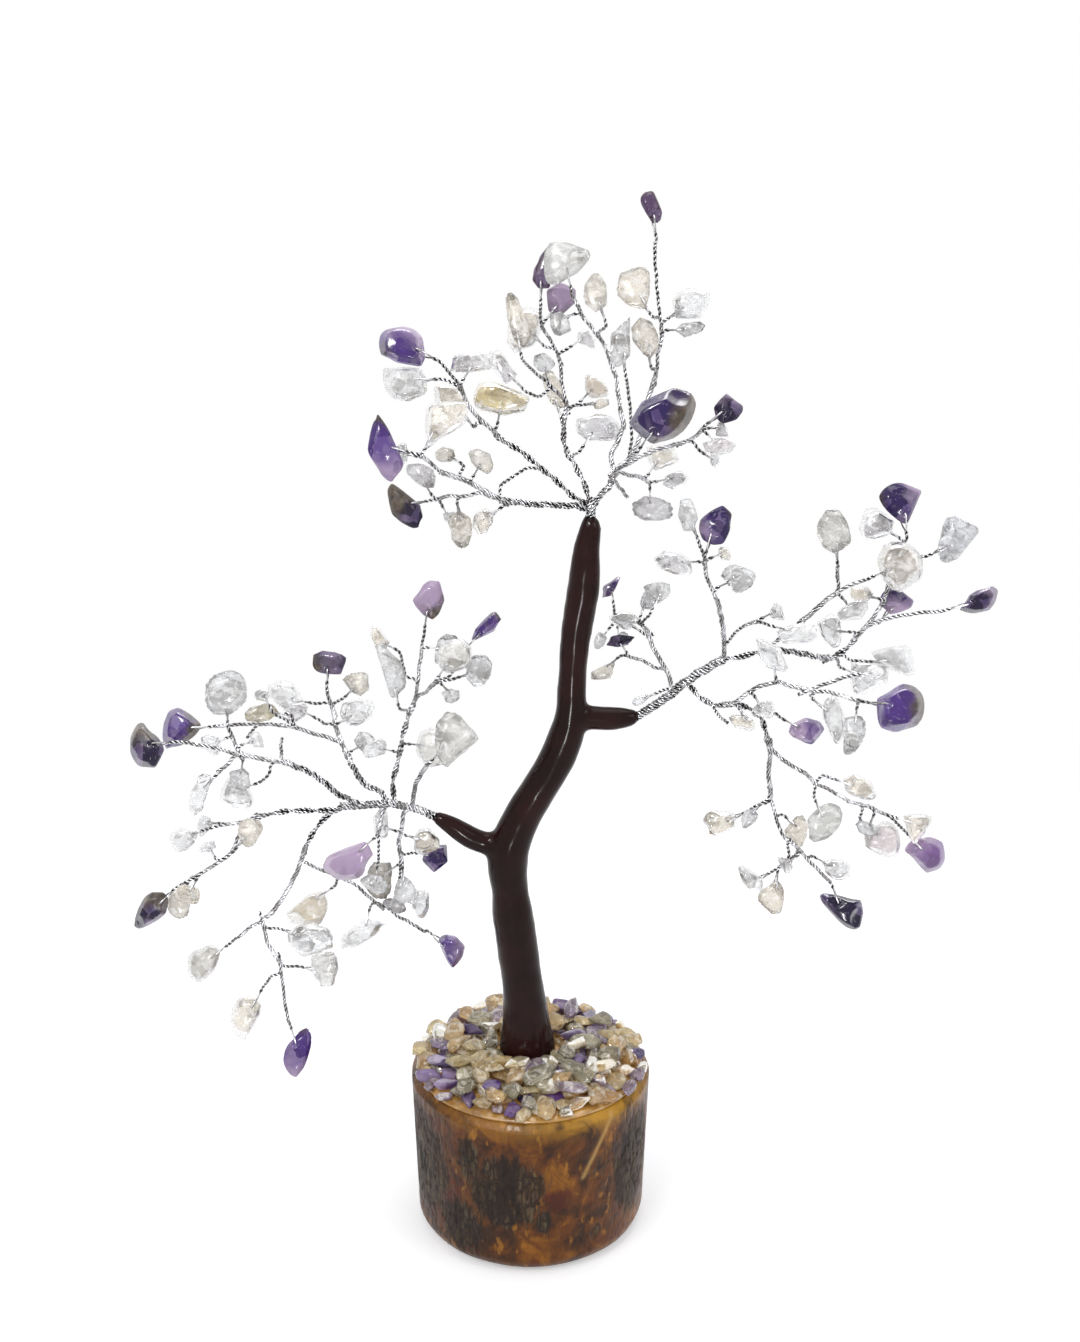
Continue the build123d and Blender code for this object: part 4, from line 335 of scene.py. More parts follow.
# Patches of bark on the log: turn from the viewer, height share, how far they reach, how much
BARK_PATCHES = [
    Bark(-66, 0.55, 26, 0.44, 1.0),
    Bark(-36, 0.26, 16, 0.22, 0.9),
    Bark(-12, 0.55, 19, 0.26, 1.1),
    Bark(-30, 0.72, 10, 0.18, 0.7),
    Bark(7, 0.36, 5, 0.10, 0.9),
    Bark(62, 0.55, 19, 0.34, 1.1),
    Bark(36, 0.66, 9, 0.14, 0.5),
    Bark(32, 0.22, 10, 0.10, 0.5),
    Bark(104, 0.45, 18, 0.34, 0.9),
    Bark(146, 0.62, 14, 0.22, 0.8),
    Bark(178, 0.34, 16, 0.26, 1.0),
    Bark(-104, 0.40, 15, 0.28, 0.8),
    Bark(-142, 0.58, 16, 0.32, 0.9),
]

# The lamps: where each stands, its width and height, its power, and whether it lights dull
# surfaces too, or shows in gloss alone
LAMPS = [
    Lamp("soft_key", (-0.55, -0.75, 0.95), 0.60, 0.60, 5.0, True),
    Lamp("soft_fill", (0.75, -0.45, 0.60), 0.50, 0.50, 2.0, True),
    Lamp("top_light", (0.05, 0.15, 1.10), 0.60, 0.60, 3.0, True),
    Lamp("low_strip", (-0.012, -0.30, 0.066), 0.010, 0.055, 0.25, False),
    Lamp("upper_strip", (-0.10, -0.28, 0.42), 0.05, 0.02, 0.8, False),
]
LAMPS_AIM = (0.0, 0.0, 0.12)
FLOOR_REACH = 3.0


class StandSettings(bpy.types.PropertyGroup):
    """Sizes and colours of the log, the glue and the trunk."""

    relief: bpy.props.FloatProperty(
        name="Bark relief", description="Depth of the bark's cracks",
        default=0.00045, min=0.0, max=0.002, subtype="DISTANCE", unit="LENGTH")
    varnish: bpy.props.FloatVectorProperty(
        name="Varnished wood", description="Amber-brown wood under the varnish",
        default=shade("6a3b10"), size=3, subtype="COLOR", min=0.0, max=1.0)
    bark: bpy.props.FloatVectorProperty(
        name="Bark", description="Dark bark that is left on the log",
        default=shade("32261d"), size=3, subtype="COLOR", min=0.0, max=1.0)
    glue: bpy.props.FloatVectorProperty(
        name="Glue", description="Amber glue that holds the chips",
        default=shade("c08f45"), size=3, subtype="COLOR", min=0.0, max=1.0)
    lacquer: bpy.props.FloatVectorProperty(
        name="Lacquer", description="Gloss lacquer on the trunk",
        default=shade("1d0c0b"), size=3, subtype="COLOR", min=0.0, max=1.0)
    lump: bpy.props.FloatProperty(
        name="Lacquer lumps", description="Height of the swells in the thick lacquer",
        default=0.00022, min=0.0, max=0.001, subtype="DISTANCE", unit="LENGTH")


class WireSettings(bpy.types.PropertyGroup):
    """Sizes and colours of the twisted wire."""

    strand: bpy.props.FloatProperty(
        name="Strand", description="Diameter of one strand",
        default=0.0004, min=0.0001, max=0.002, subtype="DISTANCE", unit="LENGTH")
    lay: bpy.props.FloatProperty(
        name="Lay", description="Length of one full turn of a twisted pair",
        default=0.0021, min=0.0005, max=0.02, subtype="DISTANCE", unit="LENGTH")
    rope_lay: bpy.props.FloatProperty(
        name="Rope lay", description="Length of one full turn of the pairs in a stem",
        default=0.0085, min=0.001, max=0.05, subtype="DISTANCE", unit="LENGTH")
    step: bpy.props.FloatProperty(
        name="Step", description="Distance between the rings of a strand",
        default=0.00028, min=0.0001, max=0.002, subtype="DISTANCE", unit="LENGTH")
    bright: bpy.props.FloatVectorProperty(
        name="Bright wire", description="Colour of the clean wire",
        default=shade("e2e2e6"), size=3, subtype="COLOR", min=0.0, max=1.0)
    dull: bpy.props.FloatVectorProperty(
        name="Dull wire", description="Colour where the wire has dulled",
        default=shade("787472"), size=3, subtype="COLOR", min=0.0, max=1.0)


class StoneSettings(bpy.types.PropertyGroup):
    """Colours and edges of the stones."""

    clear: bpy.props.FloatVectorProperty(
        name="Clear quartz", description="Tint of the clearest quartz",
        default=shade("e9eaec"), size=3, subtype="COLOR", min=0.0, max=1.0)
    cream: bpy.props.FloatVectorProperty(
        name="Cream quartz", description="Tint of the warm quartz",
        default=shade("ebe4d8"), size=3, subtype="COLOR", min=0.0, max=1.0)
    grey: bpy.props.FloatVectorProperty(
        name="Grey quartz", description="Tint of the smoky quartz",
        default=shade("d2d0d4"), size=3, subtype="COLOR", min=0.0, max=1.0)
    amber: bpy.props.FloatVectorProperty(
        name="Amber quartz", description="Tint of the chips that the glue colours",
        default=shade("dcbd86"), size=3, subtype="COLOR", min=0.0, max=1.0)
    edge: bpy.props.FloatProperty(
        name="Edge", description="How sharp the tumbled edges are",
        default=16.0, min=2.0, max=60.0)
    grow: bpy.props.FloatProperty(
        name="Grow", description="What a tumbled stone is enlarged by, for its worn edges",
        default=1.03, min=0.8, max=1.3)


class Value:
    """A socket of a finish, which sums and products can be written with."""

    def __init__(self, finish, socket):
        self.finish = finish
        self.socket = socket

    def maths(self, operation, first, second=0.0):
        return self.finish.node("ShaderNodeMath", {"operation": operation}, {0: first, 1: second})

    def __add__(self, other):
        return self.maths("ADD", self, other)

    __radd__ = __add__

    def __mul__(self, other):
        return self.maths("MULTIPLY", self, other)

    __rmul__ = __mul__

    def __sub__(self, other):
        return self.maths("SUBTRACT", self, other)

    def __rsub__(self, other):
        return self.maths("SUBTRACT", other, self)

    def clamped(self):
        return self.finish.node("ShaderNodeClamp", {}, {"Value": self})


class Finish:
    """A material, or the world's light, that is put together node by node."""

    def __init__(self, name, kinds=None, end="ShaderNodeOutputMaterial"):
        self.material = (bpy.data.materials if kinds is None else kinds).new(name)
        self.material.use_nodes = True
        self.tree = self.material.node_tree
        self.tree.nodes.clear()
        self.output = self.tree.nodes.new(end)

    def node(self, kind, settings=None, inputs=None, output=0):
        """Adds a node with its settings and its sockets' values or links."""
        made = self.tree.nodes.new(kind)
        for key, value in (settings or {}).items():
            if key == "stops":
                elements = made.color_ramp.elements
                while len(elements) < len(value):
                    elements.new(0.5)
                for element, (place, colour) in zip(elements, value):
                    element.position = place
                    element.color = (*colour, 1.0)
            else:
                setattr(made, key, value)
        for key, value in (inputs or {}).items():
            socket = made.inputs[key]
            if isinstance(value, Value):
                self.tree.links.new(value.socket, socket)
            elif isinstance(value, tuple) and len(value) == 3 and socket.type == "RGBA":
                socket.default_value = (*value, 1.0)
            else:
                socket.default_value = value
        return Value(self, made.outputs[output])

    def place(self):
        return self.node("ShaderNodeTexCoord", output="Object")

    def spread(self, place, factors):
        """A place stretched along the three axes."""
        return self.node("ShaderNodeVectorMath", {"operation": "MULTIPLY"},
                         {0: place, 1: factors})

    def moved(self, place, amount):
        """A place moved by a number, so that like stones differ."""
        return self.node("ShaderNodeVectorMath", {"operation": "ADD"}, {0: place, 1: amount})

    def noise(self, place, scale, detail=4.0, rough=0.55, twist=0.0):
        return self.node("ShaderNodeTexNoise", {"noise_dimensions": "3D"},
                         {"Vector": place, "Scale": scale, "Detail": detail,
                          "Roughness": rough, "Distortion": twist})

    def ramp(self, value, stops):
        return self.node("ShaderNodeValToRGB", {"stops": stops}, {"Fac": value})

    def band(self, value, low, high):
        """A value's rise from 0 at low to 1 at high."""
        return self.node("ShaderNodeMapRange", {"interpolation_type": "SMOOTHSTEP"},
                         {"Value": value, "From Min": low, "From Max": high})

    def mix(self, share, first, second, way="MIX"):
        return self.node("ShaderNodeMix", {"data_type": "RGBA", "blend_type": way},
                         {0: share, 6: first, 7: second}, output=2)

    def cells(self, place, scale, bend):
        """A level for each flat break in a stone, with bent borders between them."""
        drift = self.node("ShaderNodeTexNoise", {"noise_dimensions": "3D"},
                          {"Vector": place, "Scale": scale * 0.6, "Detail": 1.0}, output=1)
        bent = self.moved(place, self.spread(drift, (bend, bend, bend)))
        return self.node("ShaderNodeTexVoronoi", {"feature": "F1"},
                         {"Vector": bent, "Scale": scale}, output=1)

    def attribute(self, name, output="Fac"):
        return self.node("ShaderNodeAttribute", {"attribute_name": name}, output=output)

    def bump(self, height, strength, distance):
        return self.node("ShaderNodeBump", {}, {"Height": height, "Strength": strength,
                                                "Distance": distance})

    def gloss(self, **sockets):
        """The Principled shader, its sockets named with underscores."""
        inputs = {key.replace("_", " "): value for key, value in sockets.items()}
        return self.node("ShaderNodeBsdfPrincipled", {}, inputs)

    def blended(self, share, first, second):
        return self.node("ShaderNodeMixShader", {}, {0: share, 1: first, 2: second})

    def seen(self):
        """1 for rays from the camera, and for those that come by gloss or glass."""
        rays = self.tree.nodes.new("ShaderNodeLightPath")
        share = Value(self, rays.outputs["Is Camera Ray"])
        for kind in ("Is Glossy Ray", "Is Transmission Ray"):
            share = share.maths("MAXIMUM", share, Value(self, rays.outputs[kind]))
        return share

    def done(self, shader):
        self.tree.links.new(shader.socket, self.output.inputs["Surface"])
        return self.material


class Pile:
    """Corners, faces and values at corners, gathered into one piece."""

    def __init__(self):
        self.corners = []
        self.faces = []
        self.values = {}
        self.count = 0

    def add(self, corners, faces, **values):
        """Adds corners and arrays of faces, with a number or colour for each corner."""
        self.corners.append(np.asarray(corners, float))
        for rows in faces:
            self.faces.append(np.asarray(rows, int) + self.count)
        for name, value in values.items():
            value = np.asarray(value, float)
            wide = value.shape[-1:] if value.ndim and value.shape[-1] == 3 else ()
            rows = np.broadcast_to(value, (len(corners), *wide))
            self.values.setdefault(name, []).append(rows)
        self.count += len(corners)

    def piece(self, name, material, body, slot, nodes, rides=True):
        """Makes the piece, which stands for its nodes and rides on its body."""
        mesh = bpy.data.meshes.new(name)
        corners = np.vstack(self.corners)
        mesh.vertices.add(len(corners))
        mesh.vertices.foreach_set("co", corners.astype(np.float32).ravel())
        sizes = np.concatenate([np.full(len(rows), rows.shape[1]) for rows in self.faces])
        loops = np.concatenate([rows.ravel() for rows in self.faces])
        mesh.loops.add(len(loops))
        mesh.loops.foreach_set("vertex_index", loops.astype(np.int32))
        mesh.polygons.add(len(sizes))
        starts = np.concatenate(((0,), np.cumsum(sizes)[:-1]))
        mesh.polygons.foreach_set("loop_start", starts.astype(np.int32))
        mesh.polygons.foreach_set("use_smooth", np.ones(len(sizes), bool))
        mesh.update(calc_edges=True)
        mesh.validate()
        for key, rows in self.values.items():
            values = np.concatenate(rows)
            if values.ndim == 2:
                attribute = mesh.attributes.new(key, "FLOAT_COLOR", "POINT")
                values = np.hstack((values, np.ones((len(values), 1))))
                attribute.data.foreach_set("color", values.astype(np.float32).ravel())
            else:
                attribute = mesh.attributes.new(key, "FLOAT", "POINT")
                attribute.data.foreach_set("value", values.astype(np.float32))
        mesh.materials.append(material)
        thing = bpy.data.objects.new(name, mesh)
        bpy.context.scene.collection.objects.link(thing)
        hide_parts(*nodes)
        if rides:
            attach(thing, body)
        return thing


def unit(rows):
    rows = np.asarray(rows, float)
    return rows / np.maximum(np.linalg.norm(rows, axis=-1, keepdims=True), 1e-12)


def to_picture(place):
    """Where a place shows in the picture, in pixels."""
    pitch = math.radians(VIEW_PITCH)
    reach = np.asarray(place) - np.array(VIEW_PLACE)
    far = reach[1] * math.cos(pitch) - reach[2] * math.sin(pitch)
    up = reach[1] * math.sin(pitch) + reach[2] * math.cos(pitch)
    return (PICTURE_pixels[0] / 2 + FOCAL_pixels * reach[0] / far,
            PICTURE_pixels[1] / 2 - FOCAL_pixels * up / far)


def place_seed(place):
    """A number that stays with a place, so that a stone keeps its own shape."""
    cells = [round(level / MM * SEED_CELLS) for level in place]
    return int(abs(sum(cell * step for cell, step in zip(cells, SEED_STEPS)))) % 2 ** 31


def values_of(rows, name, wide, kind=np.float32):
    """A value of every row in a list of a mesh, as an array so many wide."""
    values = np.empty(len(rows) * wide, kind)
    rows.foreach_get(name, values)
    return values.reshape(-1, wide)


def ring_faces(rings, count):
    """Quads between each ring of corners and the next one."""
    first = np.arange(rings - 1)[:, None] * count
    here = np.arange(count)[None, :]
    after = (here + 1) % count
    return np.stack((first + here, first + after, first + after + count, first + here + count),
                    axis=2).reshape(-1, 4)


def solids_of(node):
    """The separate solids of a node: corners and triangles of each."""
    mesh = frame["nodes"][node].data
    mesh.calc_loop_triangles()
    places = values_of(mesh.vertices, "co", 3)
    corners, merged = np.unique(places, axis=0, return_inverse=True)
    triangles = merged.reshape(-1)[values_of(mesh.loop_triangles, "vertices", 3, np.int32)]
    labels = np.arange(len(corners))
    while True:
        before = labels.copy()
        least = labels[triangles].min(axis=1)
        for column in range(3):
            np.minimum.at(labels, triangles[:, column], least)
        labels = labels[labels]
        if (labels == before).all():
            break
    found = []
    owners = labels[triangles[:, 0]]
    for label in np.unique(owners):
        rows = triangles[owners == label]
        used, own = np.unique(rows, return_inverse=True)
        found.append((corners[used].astype(float), own.reshape(-1, 3)))
    return found


def face_planes(corners, triangles):
    """Directions and offsets of a solid's triangles, and their areas."""
    first, second, third = (corners[triangles[:, column]] for column in range(3))
    cross = np.cross(second - first, third - first)
    areas = np.linalg.norm(cross, axis=1) / 2
    normals = unit(cross)
    return normals, (normals * first).sum(axis=1), areas


def spread_from(front, triangles, count):
    """Corners in layers, each next to the one before."""
    seen = np.zeros(count, bool)
    seen[front] = True
    layers = [front]
    edge = np.zeros(count, bool)
    while True:
        edge[:] = False
        edge[layers[-1]] = True
        rows = triangles[edge[triangles].any(axis=1)]
        fresh = np.unique(rows)
        fresh = fresh[~seen[fresh]]
        if not len(fresh):
            return layers
        seen[fresh] = True
        layers.append(fresh)


def flat_ends(corners, triangles):
    """The flat round ends of a wire: the ring of corners round each."""
    corners = corners - corners.mean(axis=0)
    normals, offsets, areas = face_planes(corners, triangles)
    planes = np.hstack((normals, offsets[:, None] / MM)).round(2)
    group = np.unique(planes, axis=0, return_inverse=True)[1].reshape(-1)
    sizes = np.bincount(group, weights=areas)
    rings = []
    for label in np.argsort(-sizes)[:PLANES_TRIED]:
        rows = group == label
        normal = unit((normals[rows] * areas[rows, None]).sum(axis=0))
        middle = corners[triangles[rows]].reshape(-1, 3).mean(axis=0)
        level = abs((corners - middle) @ normal) < SAME_LEVEL
        level &= np.linalg.norm(corners - middle, axis=1) < END_REACH
        flat = level[triangles].all(axis=1)
        ring = np.unique(triangles[flat])
        if len(ring) < END_CORNERS:
            continue
        outs = np.linalg.norm(corners[ring] - corners[ring].mean(axis=0), axis=1)
        full = areas[flat].sum() / (math.pi * outs.mean() ** 2)
        disc = outs.std() < END_UNEVEN * outs.mean() and abs(full - 1) < END_SLACK
        if disc and not any(np.isin(ring, other).any() for other in rings):
            rings.append(ring)
        if len(rings) == 2:
            break
    return rings


def middle_line(corners, triangles):
    """The line along the middle of a round wire, and the wire's radius."""
    rings = flat_ends(corners, triangles)
    centres = [corners[ring].mean(axis=0) for ring in rings]
    radius = float(np.linalg.norm(corners[rings[0]] - centres[0], axis=1).max())
    merged = np.unique((corners / SAME_CORNER).round(), axis=0, return_inverse=True)[1]
    merged = merged.reshape(-1)
    rows = merged[triangles]
    whole = (rows[:, 0] != rows[:, 1]) & (rows[:, 1] != rows[:, 2]) & (rows[:, 2] != rows[:, 0])
    rows = rows[whole]
    count = int(merged.max()) + 1
    places = np.zeros((count, 3))
    places[merged] = corners
    normals, _, areas = face_planes(places, rows)
    flat = np.zeros(len(rows), bool)
    for ring in rings:
        flat |= np.isin(rows, merged[ring]).all(axis=1)
    outward = np.zeros_like(places)
    for column in range(3):
        np.add.at(outward, rows[~flat, column], normals[~flat] * areas[~flat, None])
    inner = places - unit(outward) * radius
    layers = spread_from(np.unique(merged[rings[0]]), rows, count)
    points = [inner[layer].mean(axis=0) for layer in layers[1:]]
    if len(centres) == 2:
        points = points[:-1] + [centres[1]]
    return np.array([centres[0], *points]), radius


def even(points, step):
    """The same line with its points evenly apart."""
    runs = np.linalg.norm(np.diff(points, axis=0), axis=1)
    fresh = runs > SAME_PLACE
    points = points[np.concatenate(((True,), fresh))]
    walked = np.concatenate(((0.0,), np.cumsum(runs[fresh])))
    count = max(3, int(math.ceil(walked[-1] / step)) + 1)
    goal = np.linspace(0, walked[-1], count)
    return np.stack([np.interp(goal, walked, points[:, axis]) for axis in range(3)], axis=1)


def eased(points, rounds):
    """The line with its bends softened; its ends stay."""
    points = points.copy()
    for _ in range(rounds):
        points[1:-1] = (points[:-2] + 2 * points[1:-1] + points[2:]) / 4
    return points


def frames_along(points):
    """Directions along a line, and two across it that don't spin."""
    ahead = unit(np.gradient(points, axis=0))
    across = np.empty_like(ahead)
    side = np.cross(ahead[0], (0.31, 0.52, 0.79))
    across[0] = unit(side)
    for row in range(1, len(points)):
        side = across[row - 1] - (across[row - 1] @ ahead[row]) * ahead[row]
        across[row] = unit(side)
    return ahead, across, np.cross(ahead, across)


def tube(pile, centres, outward, radius, sides, crest=1.0, painted_groove_shade=0.5):
    """A round strand along its middle; a painted highlight on its outward crest, painted shade in
    its inward groove.
    """
    ahead = unit(np.gradient(centres, axis=0))
    first = unit(outward - (outward * ahead).sum(axis=1, keepdims=True) * ahead)
    second = np.cross(ahead, first)
    turns = np.linspace(0, math.tau, sides, endpoint=False)
    radii = np.broadcast_to(radius, len(centres))[:, None, None]
    ring = (np.cos(turns)[None, :, None] * first[:, None, :]
            + np.sin(turns)[None, :, None] * second[:, None, :])
    corners = (centres[:, None, :] + radii * ring).reshape(-1, 3)
    last = (len(centres) - 1) * sides
    ends = [np.arange(sides)[::-1][None, :], (last + np.arange(sides))[None, :]]
    bright = np.tile(crest * (1 - painted_groove_shade + painted_groove_shade * np.cos(turns)), len(centres))
    pile.add(corners, [ring_faces(len(centres), sides), *ends], crest=bright)


def wander(walked, chance, stray):
    """A slow, smooth drift to one side along a wire that was twisted by hand."""
    size, length = stray
    drift = np.zeros(len(walked))
    for _ in range(3):
        wave = length * chance.uniform(0.6, 1.6)
        drift += np.sin(walked / wave * math.tau + chance.uniform(0, math.tau))
    return drift / 3 * size


def turned(angle, first, second):
    """A direction for each point, turned by its angle from the first toward the second."""
    return first * np.cos(angle)[:, None] + second * np.sin(angle)[:, None]


def twist(pile, points, radius, settings, chance, end_way=None):
    """A twisted wire: two to five strands, or a rope of twisted pairs."""
    thin = settings.strand / 2
    points = eased(even(points, settings.step), STEM_EASING)
    count = len(points)
    walked = np.arange(count) * settings.step
    _, across, over = frames_along(points)
    fade = np.minimum(1, np.minimum(np.arange(count), np.arange(count)[::-1]) / STRAY_FADE)
    for way in (across, over):
        points = points + way * (wander(walked, chance, STEM_STRAY) * fade)[:, None]
    strands = max(2, round((radius / thin) ** 2 / 2))
    if strands <= LOOSE_STRANDS:
        lay = settings.lay * strands / 2
        out = thin / math.sin(math.pi / strands) if strands > 2 else thin
        turns = walked / lay * math.tau * chance.uniform(*LAY_SPREAD)
        turns += wander(walked, chance, TURN_STRAY)
        start = chance.uniform(0, math.tau)
        if end_way is not None:
            aim = math.atan2(float(end_way @ over[-1]), float(end_way @ across[-1]))
            start = aim - turns[-1]
        for strand in range(strands):
            way = turned(turns + start + strand * math.tau / strands, across, over)
            reach = out * (1 + wander(walked, chance, STRAND_STRAY))
            tube(pile, points + way * reach[:, None], way, thin, STRAND_SIDES)
        return
    small = thin * PAIR_TIGHTNESS
    out = radius - 2 * small
    room = int(math.pi / math.asin(min(1.0, 2 * small / out)) * 1.02) if out > 2 * small else 2
    pairs = max(2, min(strands // 2, room))
    if out > CORE_LEAST:
        core = out - CORE_INSET * min(1.0, out / CORE_FULL)
        # The core gets no painted crest light, so it is painted dark: painted shade between the
        # pairs.
        tube(pile, points, across, core, CORE_SIDES, 0.0)
    turns = walked / settings.rope_lay * math.tau * chance.uniform(*ROPE_LAY_SPREAD)
    for pair in range(pairs):
        angle = turns + pair * math.tau / pairs + wander(walked, chance, ROPE_TURN_STRAY)
        way = turned(angle, across, over)
        reach = out * (1 + wander(walked, chance, ROPE_STRAND_STRAY))
        line = points + way * reach[:, None]
        _, side, rise = frames_along(line)
        spin = walked / settings.lay * math.tau * chance.uniform(*PAIR_LAY_SPREAD)
        spin = spin + chance.uniform(0, math.tau)
        for half in (0, math.pi):
            own = turned(spin + half, side, rise)
            # The painted highlight crest faces out of the rope, and the painted shade groove faces
            # into it.
            crest = unit(own + way * PAIR_PAINTED_CREST_LEAN)
            tube(pile, line + own * small, crest, small, STRAND_SIDES)


def body_of_node(node):
    for body, nodes in frame["record"]["behaviour"]["bodies"].items():
        if node in nodes:
            return body
    raise ValueError("no body holds " + node)


def wire_lines(ending):
    """The middle line of every wire in the nodes whose names have an ending."""
    found = []
    for node in sorted(frame["nodes"]):
        if node.endswith(ending):
            for corners, triangles in solids_of(node):
                points, radius = middle_line(corners, triangles)
                found.append(Line(node, body_of_node(node), points, radius))
    return found


def join_on(points, own, lines):
    """A wire's points, led on from its first one into the thicker wire that it leaves."""
    found = []
    for line in lines:
        if line is not own and line.radius >= own.radius - JOIN_SLACK:
            apart = np.linalg.norm(line.points - points[0], axis=1)
            found.append((apart.min() - line.radius, line, int(apart.argmin())))
    gap, line, nearest = min(found, key=lambda row: row[0], default=(math.inf, None, 0))
    if gap > JOIN_REACH:
        return points
    follow = line.points[nearest::-1]
    if not line.node.endswith("_bundle"):
        away = unit(follow[-1] - line.points[1]) if nearest < 1 else unit(follow[-1] - follow[-2])
        more = np.arange(1, JOIN_LED_ON + 1)[:, None] * STEM_STEP * away
        follow = np.vstack((follow, follow[-1] + more))
    lead = int((gap + line.radius + own.radius) * JOIN_AHEAD / STEM_STEP)
    lead = min(len(follow) - 1, lead)
    follow = follow[lead:lead + JOIN_POINTS]
    start = follow[0]
    into = unit(points[0] - points[1])
    along = unit(follow[1] - follow[0]) if len(follow) > 1 else into
    reach = np.linalg.norm(start - points[0])
    share = np.linspace(0, 1, max(3, int(reach / STEM_STEP)))[1:-1, None]
    curve = ((2 * share ** 3 - 3 * share ** 2 + 1) * points[0]
             + (share ** 3 - 2 * share ** 2 + share) * into * reach * JOIN_PULL
             + (3 * share ** 2 - 2 * share ** 3) * start
             + (share ** 3 - share ** 2) * along * reach * JOIN_PULL)
    return np.vstack((follow[::-1], curve[::-1], points))


def ico_sphere(rounds):
    """A round ball's corners and triangles."""
    made = bmesh.new()
    bmesh.ops.create_icosphere(made, subdivisions=rounds, radius=1.0)
    corners = np.array([corner.co[:] for corner in made.verts])
    triangles = np.array([[corner.index for corner in face.verts] for face in made.faces])
    made.free()
    return unit(corners), triangles


def waves(ways, chance, count, fine):
    """A smooth unevenness over a stone, from -1 to 1."""
    total = np.zeros(len(ways))
    for _ in range(count):
        axis = unit(chance.normal(size=3))
        total += np.sin(ways @ axis * fine * chance.uniform(0.6, 1.5) + chance.uniform(0, math.tau))
    return total / count


def hull_planes(corners):
    """A convex solid's faces: outward directions and offsets from its middle, and the middle."""
    hull = bmesh.new()
    for corner in corners:
        hull.verts.new(corner)
    made = bmesh.ops.convex_hull(hull, input=hull.verts)
    hull.normal_update()
    faces = [item for item in made["geom"] if isinstance(item, bmesh.types.BMFace)]
    faces.sort(key=lambda face: -face.calc_area())
    normals = [np.array(face.normal) for face in faces]
    areas = np.array([face.calc_area() for face in faces])[:, None]
    middles = np.array([face.calc_center_median()[:] for face in faces])
    hull.free()
    centre = (middles * areas).sum(axis=0) / areas.sum()
    kept = []
    for normal in normals:
        if all(normal @ other < 0.998 for other in kept):
            kept.append(normal)
    kept = np.array(kept)
    return kept, ((corners - centre) @ kept.T).max(axis=0), centre


def tumble(corners, triangles, ball, sharpness, wear):
    """A tumbled stone from a faceted one: soft edges, flat cuts, dents and a pit at its hole."""
    normals, offsets, centre = hull_planes(corners)
    chance = np.random.default_rng(place_seed(centre))
    spans = corners - centre
    values, axes = np.linalg.eigh(spans.T @ spans)
    stretch = np.sqrt(values / values.max()) ** 0.6
    ways = unit((ball[0] * stretch) @ axes.T)
    edge = sharpness * wear.edge
    reach = (np.maximum(ways @ normals.T / offsets, 0) ** edge).sum(axis=1) ** (-1 / edge)
    size = float(reach.max())
    for _ in range(wear.cuts):
        facing = ways @ unit(chance.normal(size=3))
        level = (facing * reach).max() * chance.uniform(*CUT_LEVELS)
        reach = np.minimum(reach, level / np.maximum(facing, 0.05))
    for _ in range(wear.dents):
        aim = unit(chance.normal(size=3))
        nearest = int((ways @ aim).argmax())
        round_by = size * chance.uniform(*DENT_ROUNDS)
        sunk = reach[nearest] * (1 - chance.uniform(*DENT_DEPTHS) * wear.depth)
        middle = ways[nearest] * (sunk + round_by)
        along = ways @ middle
        under = along ** 2 - (middle @ middle - round_by ** 2)
        hit = (under > 0) & (along > 0)
        limit = np.full(len(ways), 1.0)
        limit[hit] = along[hit] - np.sqrt(under[hit])
        limit = np.maximum(limit, DENT_FLOOR)
        reach = (reach ** -DENT_EDGE + limit ** -DENT_EDGE) ** (-1 / DENT_EDGE)
    reach = reach * (1 - 0.010 * (1 + waves(ways, chance, 5, 9)))
    shaped = centre + ways * reach[:, None]
    middles = corners[triangles].mean(axis=1) - centre
    inner = (middles @ normals.T - offsets).max(axis=1) < -0.02 * MM
    if inner.sum() > 4:
        walls = face_planes(corners, triangles)[0][inner]
        axis = np.linalg.eigh(walls.T @ walls)[1][:, 0]
        mouth = corners[triangles[inner]].reshape(-1, 3).mean(axis=0)
        arm = shaped - mouth
        level = arm @ axis
        off = np.linalg.norm(arm - level[:, None] * axis, axis=1)
        share = np.clip(1 - (off / HOLE_RIM) ** 2, 0, 1) ** 2
        shaped = shaped - (np.sign(level) * share * HOLE_WORN)[:, None] * axis
    return Stone(shaped, ball[1], centre, ways, size)


def grown(stone, share, box, chance=None):
    """A stone made larger about its middle, longer one way if chance is given, kept in a box."""
    arm = (stone.corners - stone.centre) * share
    if chance is not None:
        turn = chance.uniform(0, math.tau)
        along = np.array((math.cos(turn), math.sin(turn), 0.0))
        arm = arm + np.outer(arm @ along, along) * chance.uniform(*CHIP_LONGER)
        arm[:, 2] *= chance.uniform(*CHIP_FLATTER)
    return stone._replace(corners=np.clip(stone.centre + arm, *box))


def trunk_foot():
    """Where the trunk goes into the chips, across the log."""
    corners = solids_of("trunk_coating")[0][0]
    return corners[corners[:, 2] < corners[:, 2].min() + 3 * MM].mean(axis=0)[:2]


def heap_rise(across, foot):
    """How far the chips and the glue rise toward the trunk's foot."""
    apart = np.linalg.norm(np.asarray(across) - foot, axis=-1)
    return np.clip(1 - apart / HEAP_REACH, 0, 1) * HEAP_RISE


def heaped(stone, foot):
    """A glued chip set out to the log's edge, or up where it lies near the trunk."""
    middle = stone.centre[:2]
    corners = stone.corners + np.array((*(middle * CHIPS_OUT), float(heap_rise(middle, foot))))
    apart = np.linalg.norm(corners[:, :2], axis=1)
    corners[:, :2] *= np.minimum(1, CHIPS_EDGE / apart)[:, None]
    return stone._replace(corners=corners)


def picture_way(angle):
    """A way in the picture's plane, from its angle above the right."""
    pitch = math.radians(VIEW_PITCH)
    rise = np.array((0.0, math.sin(pitch), math.cos(pitch)))
    angle = math.radians(angle)
    return math.cos(angle) * np.array((1.0, 0.0, 0.0)) + math.sin(angle) * rise


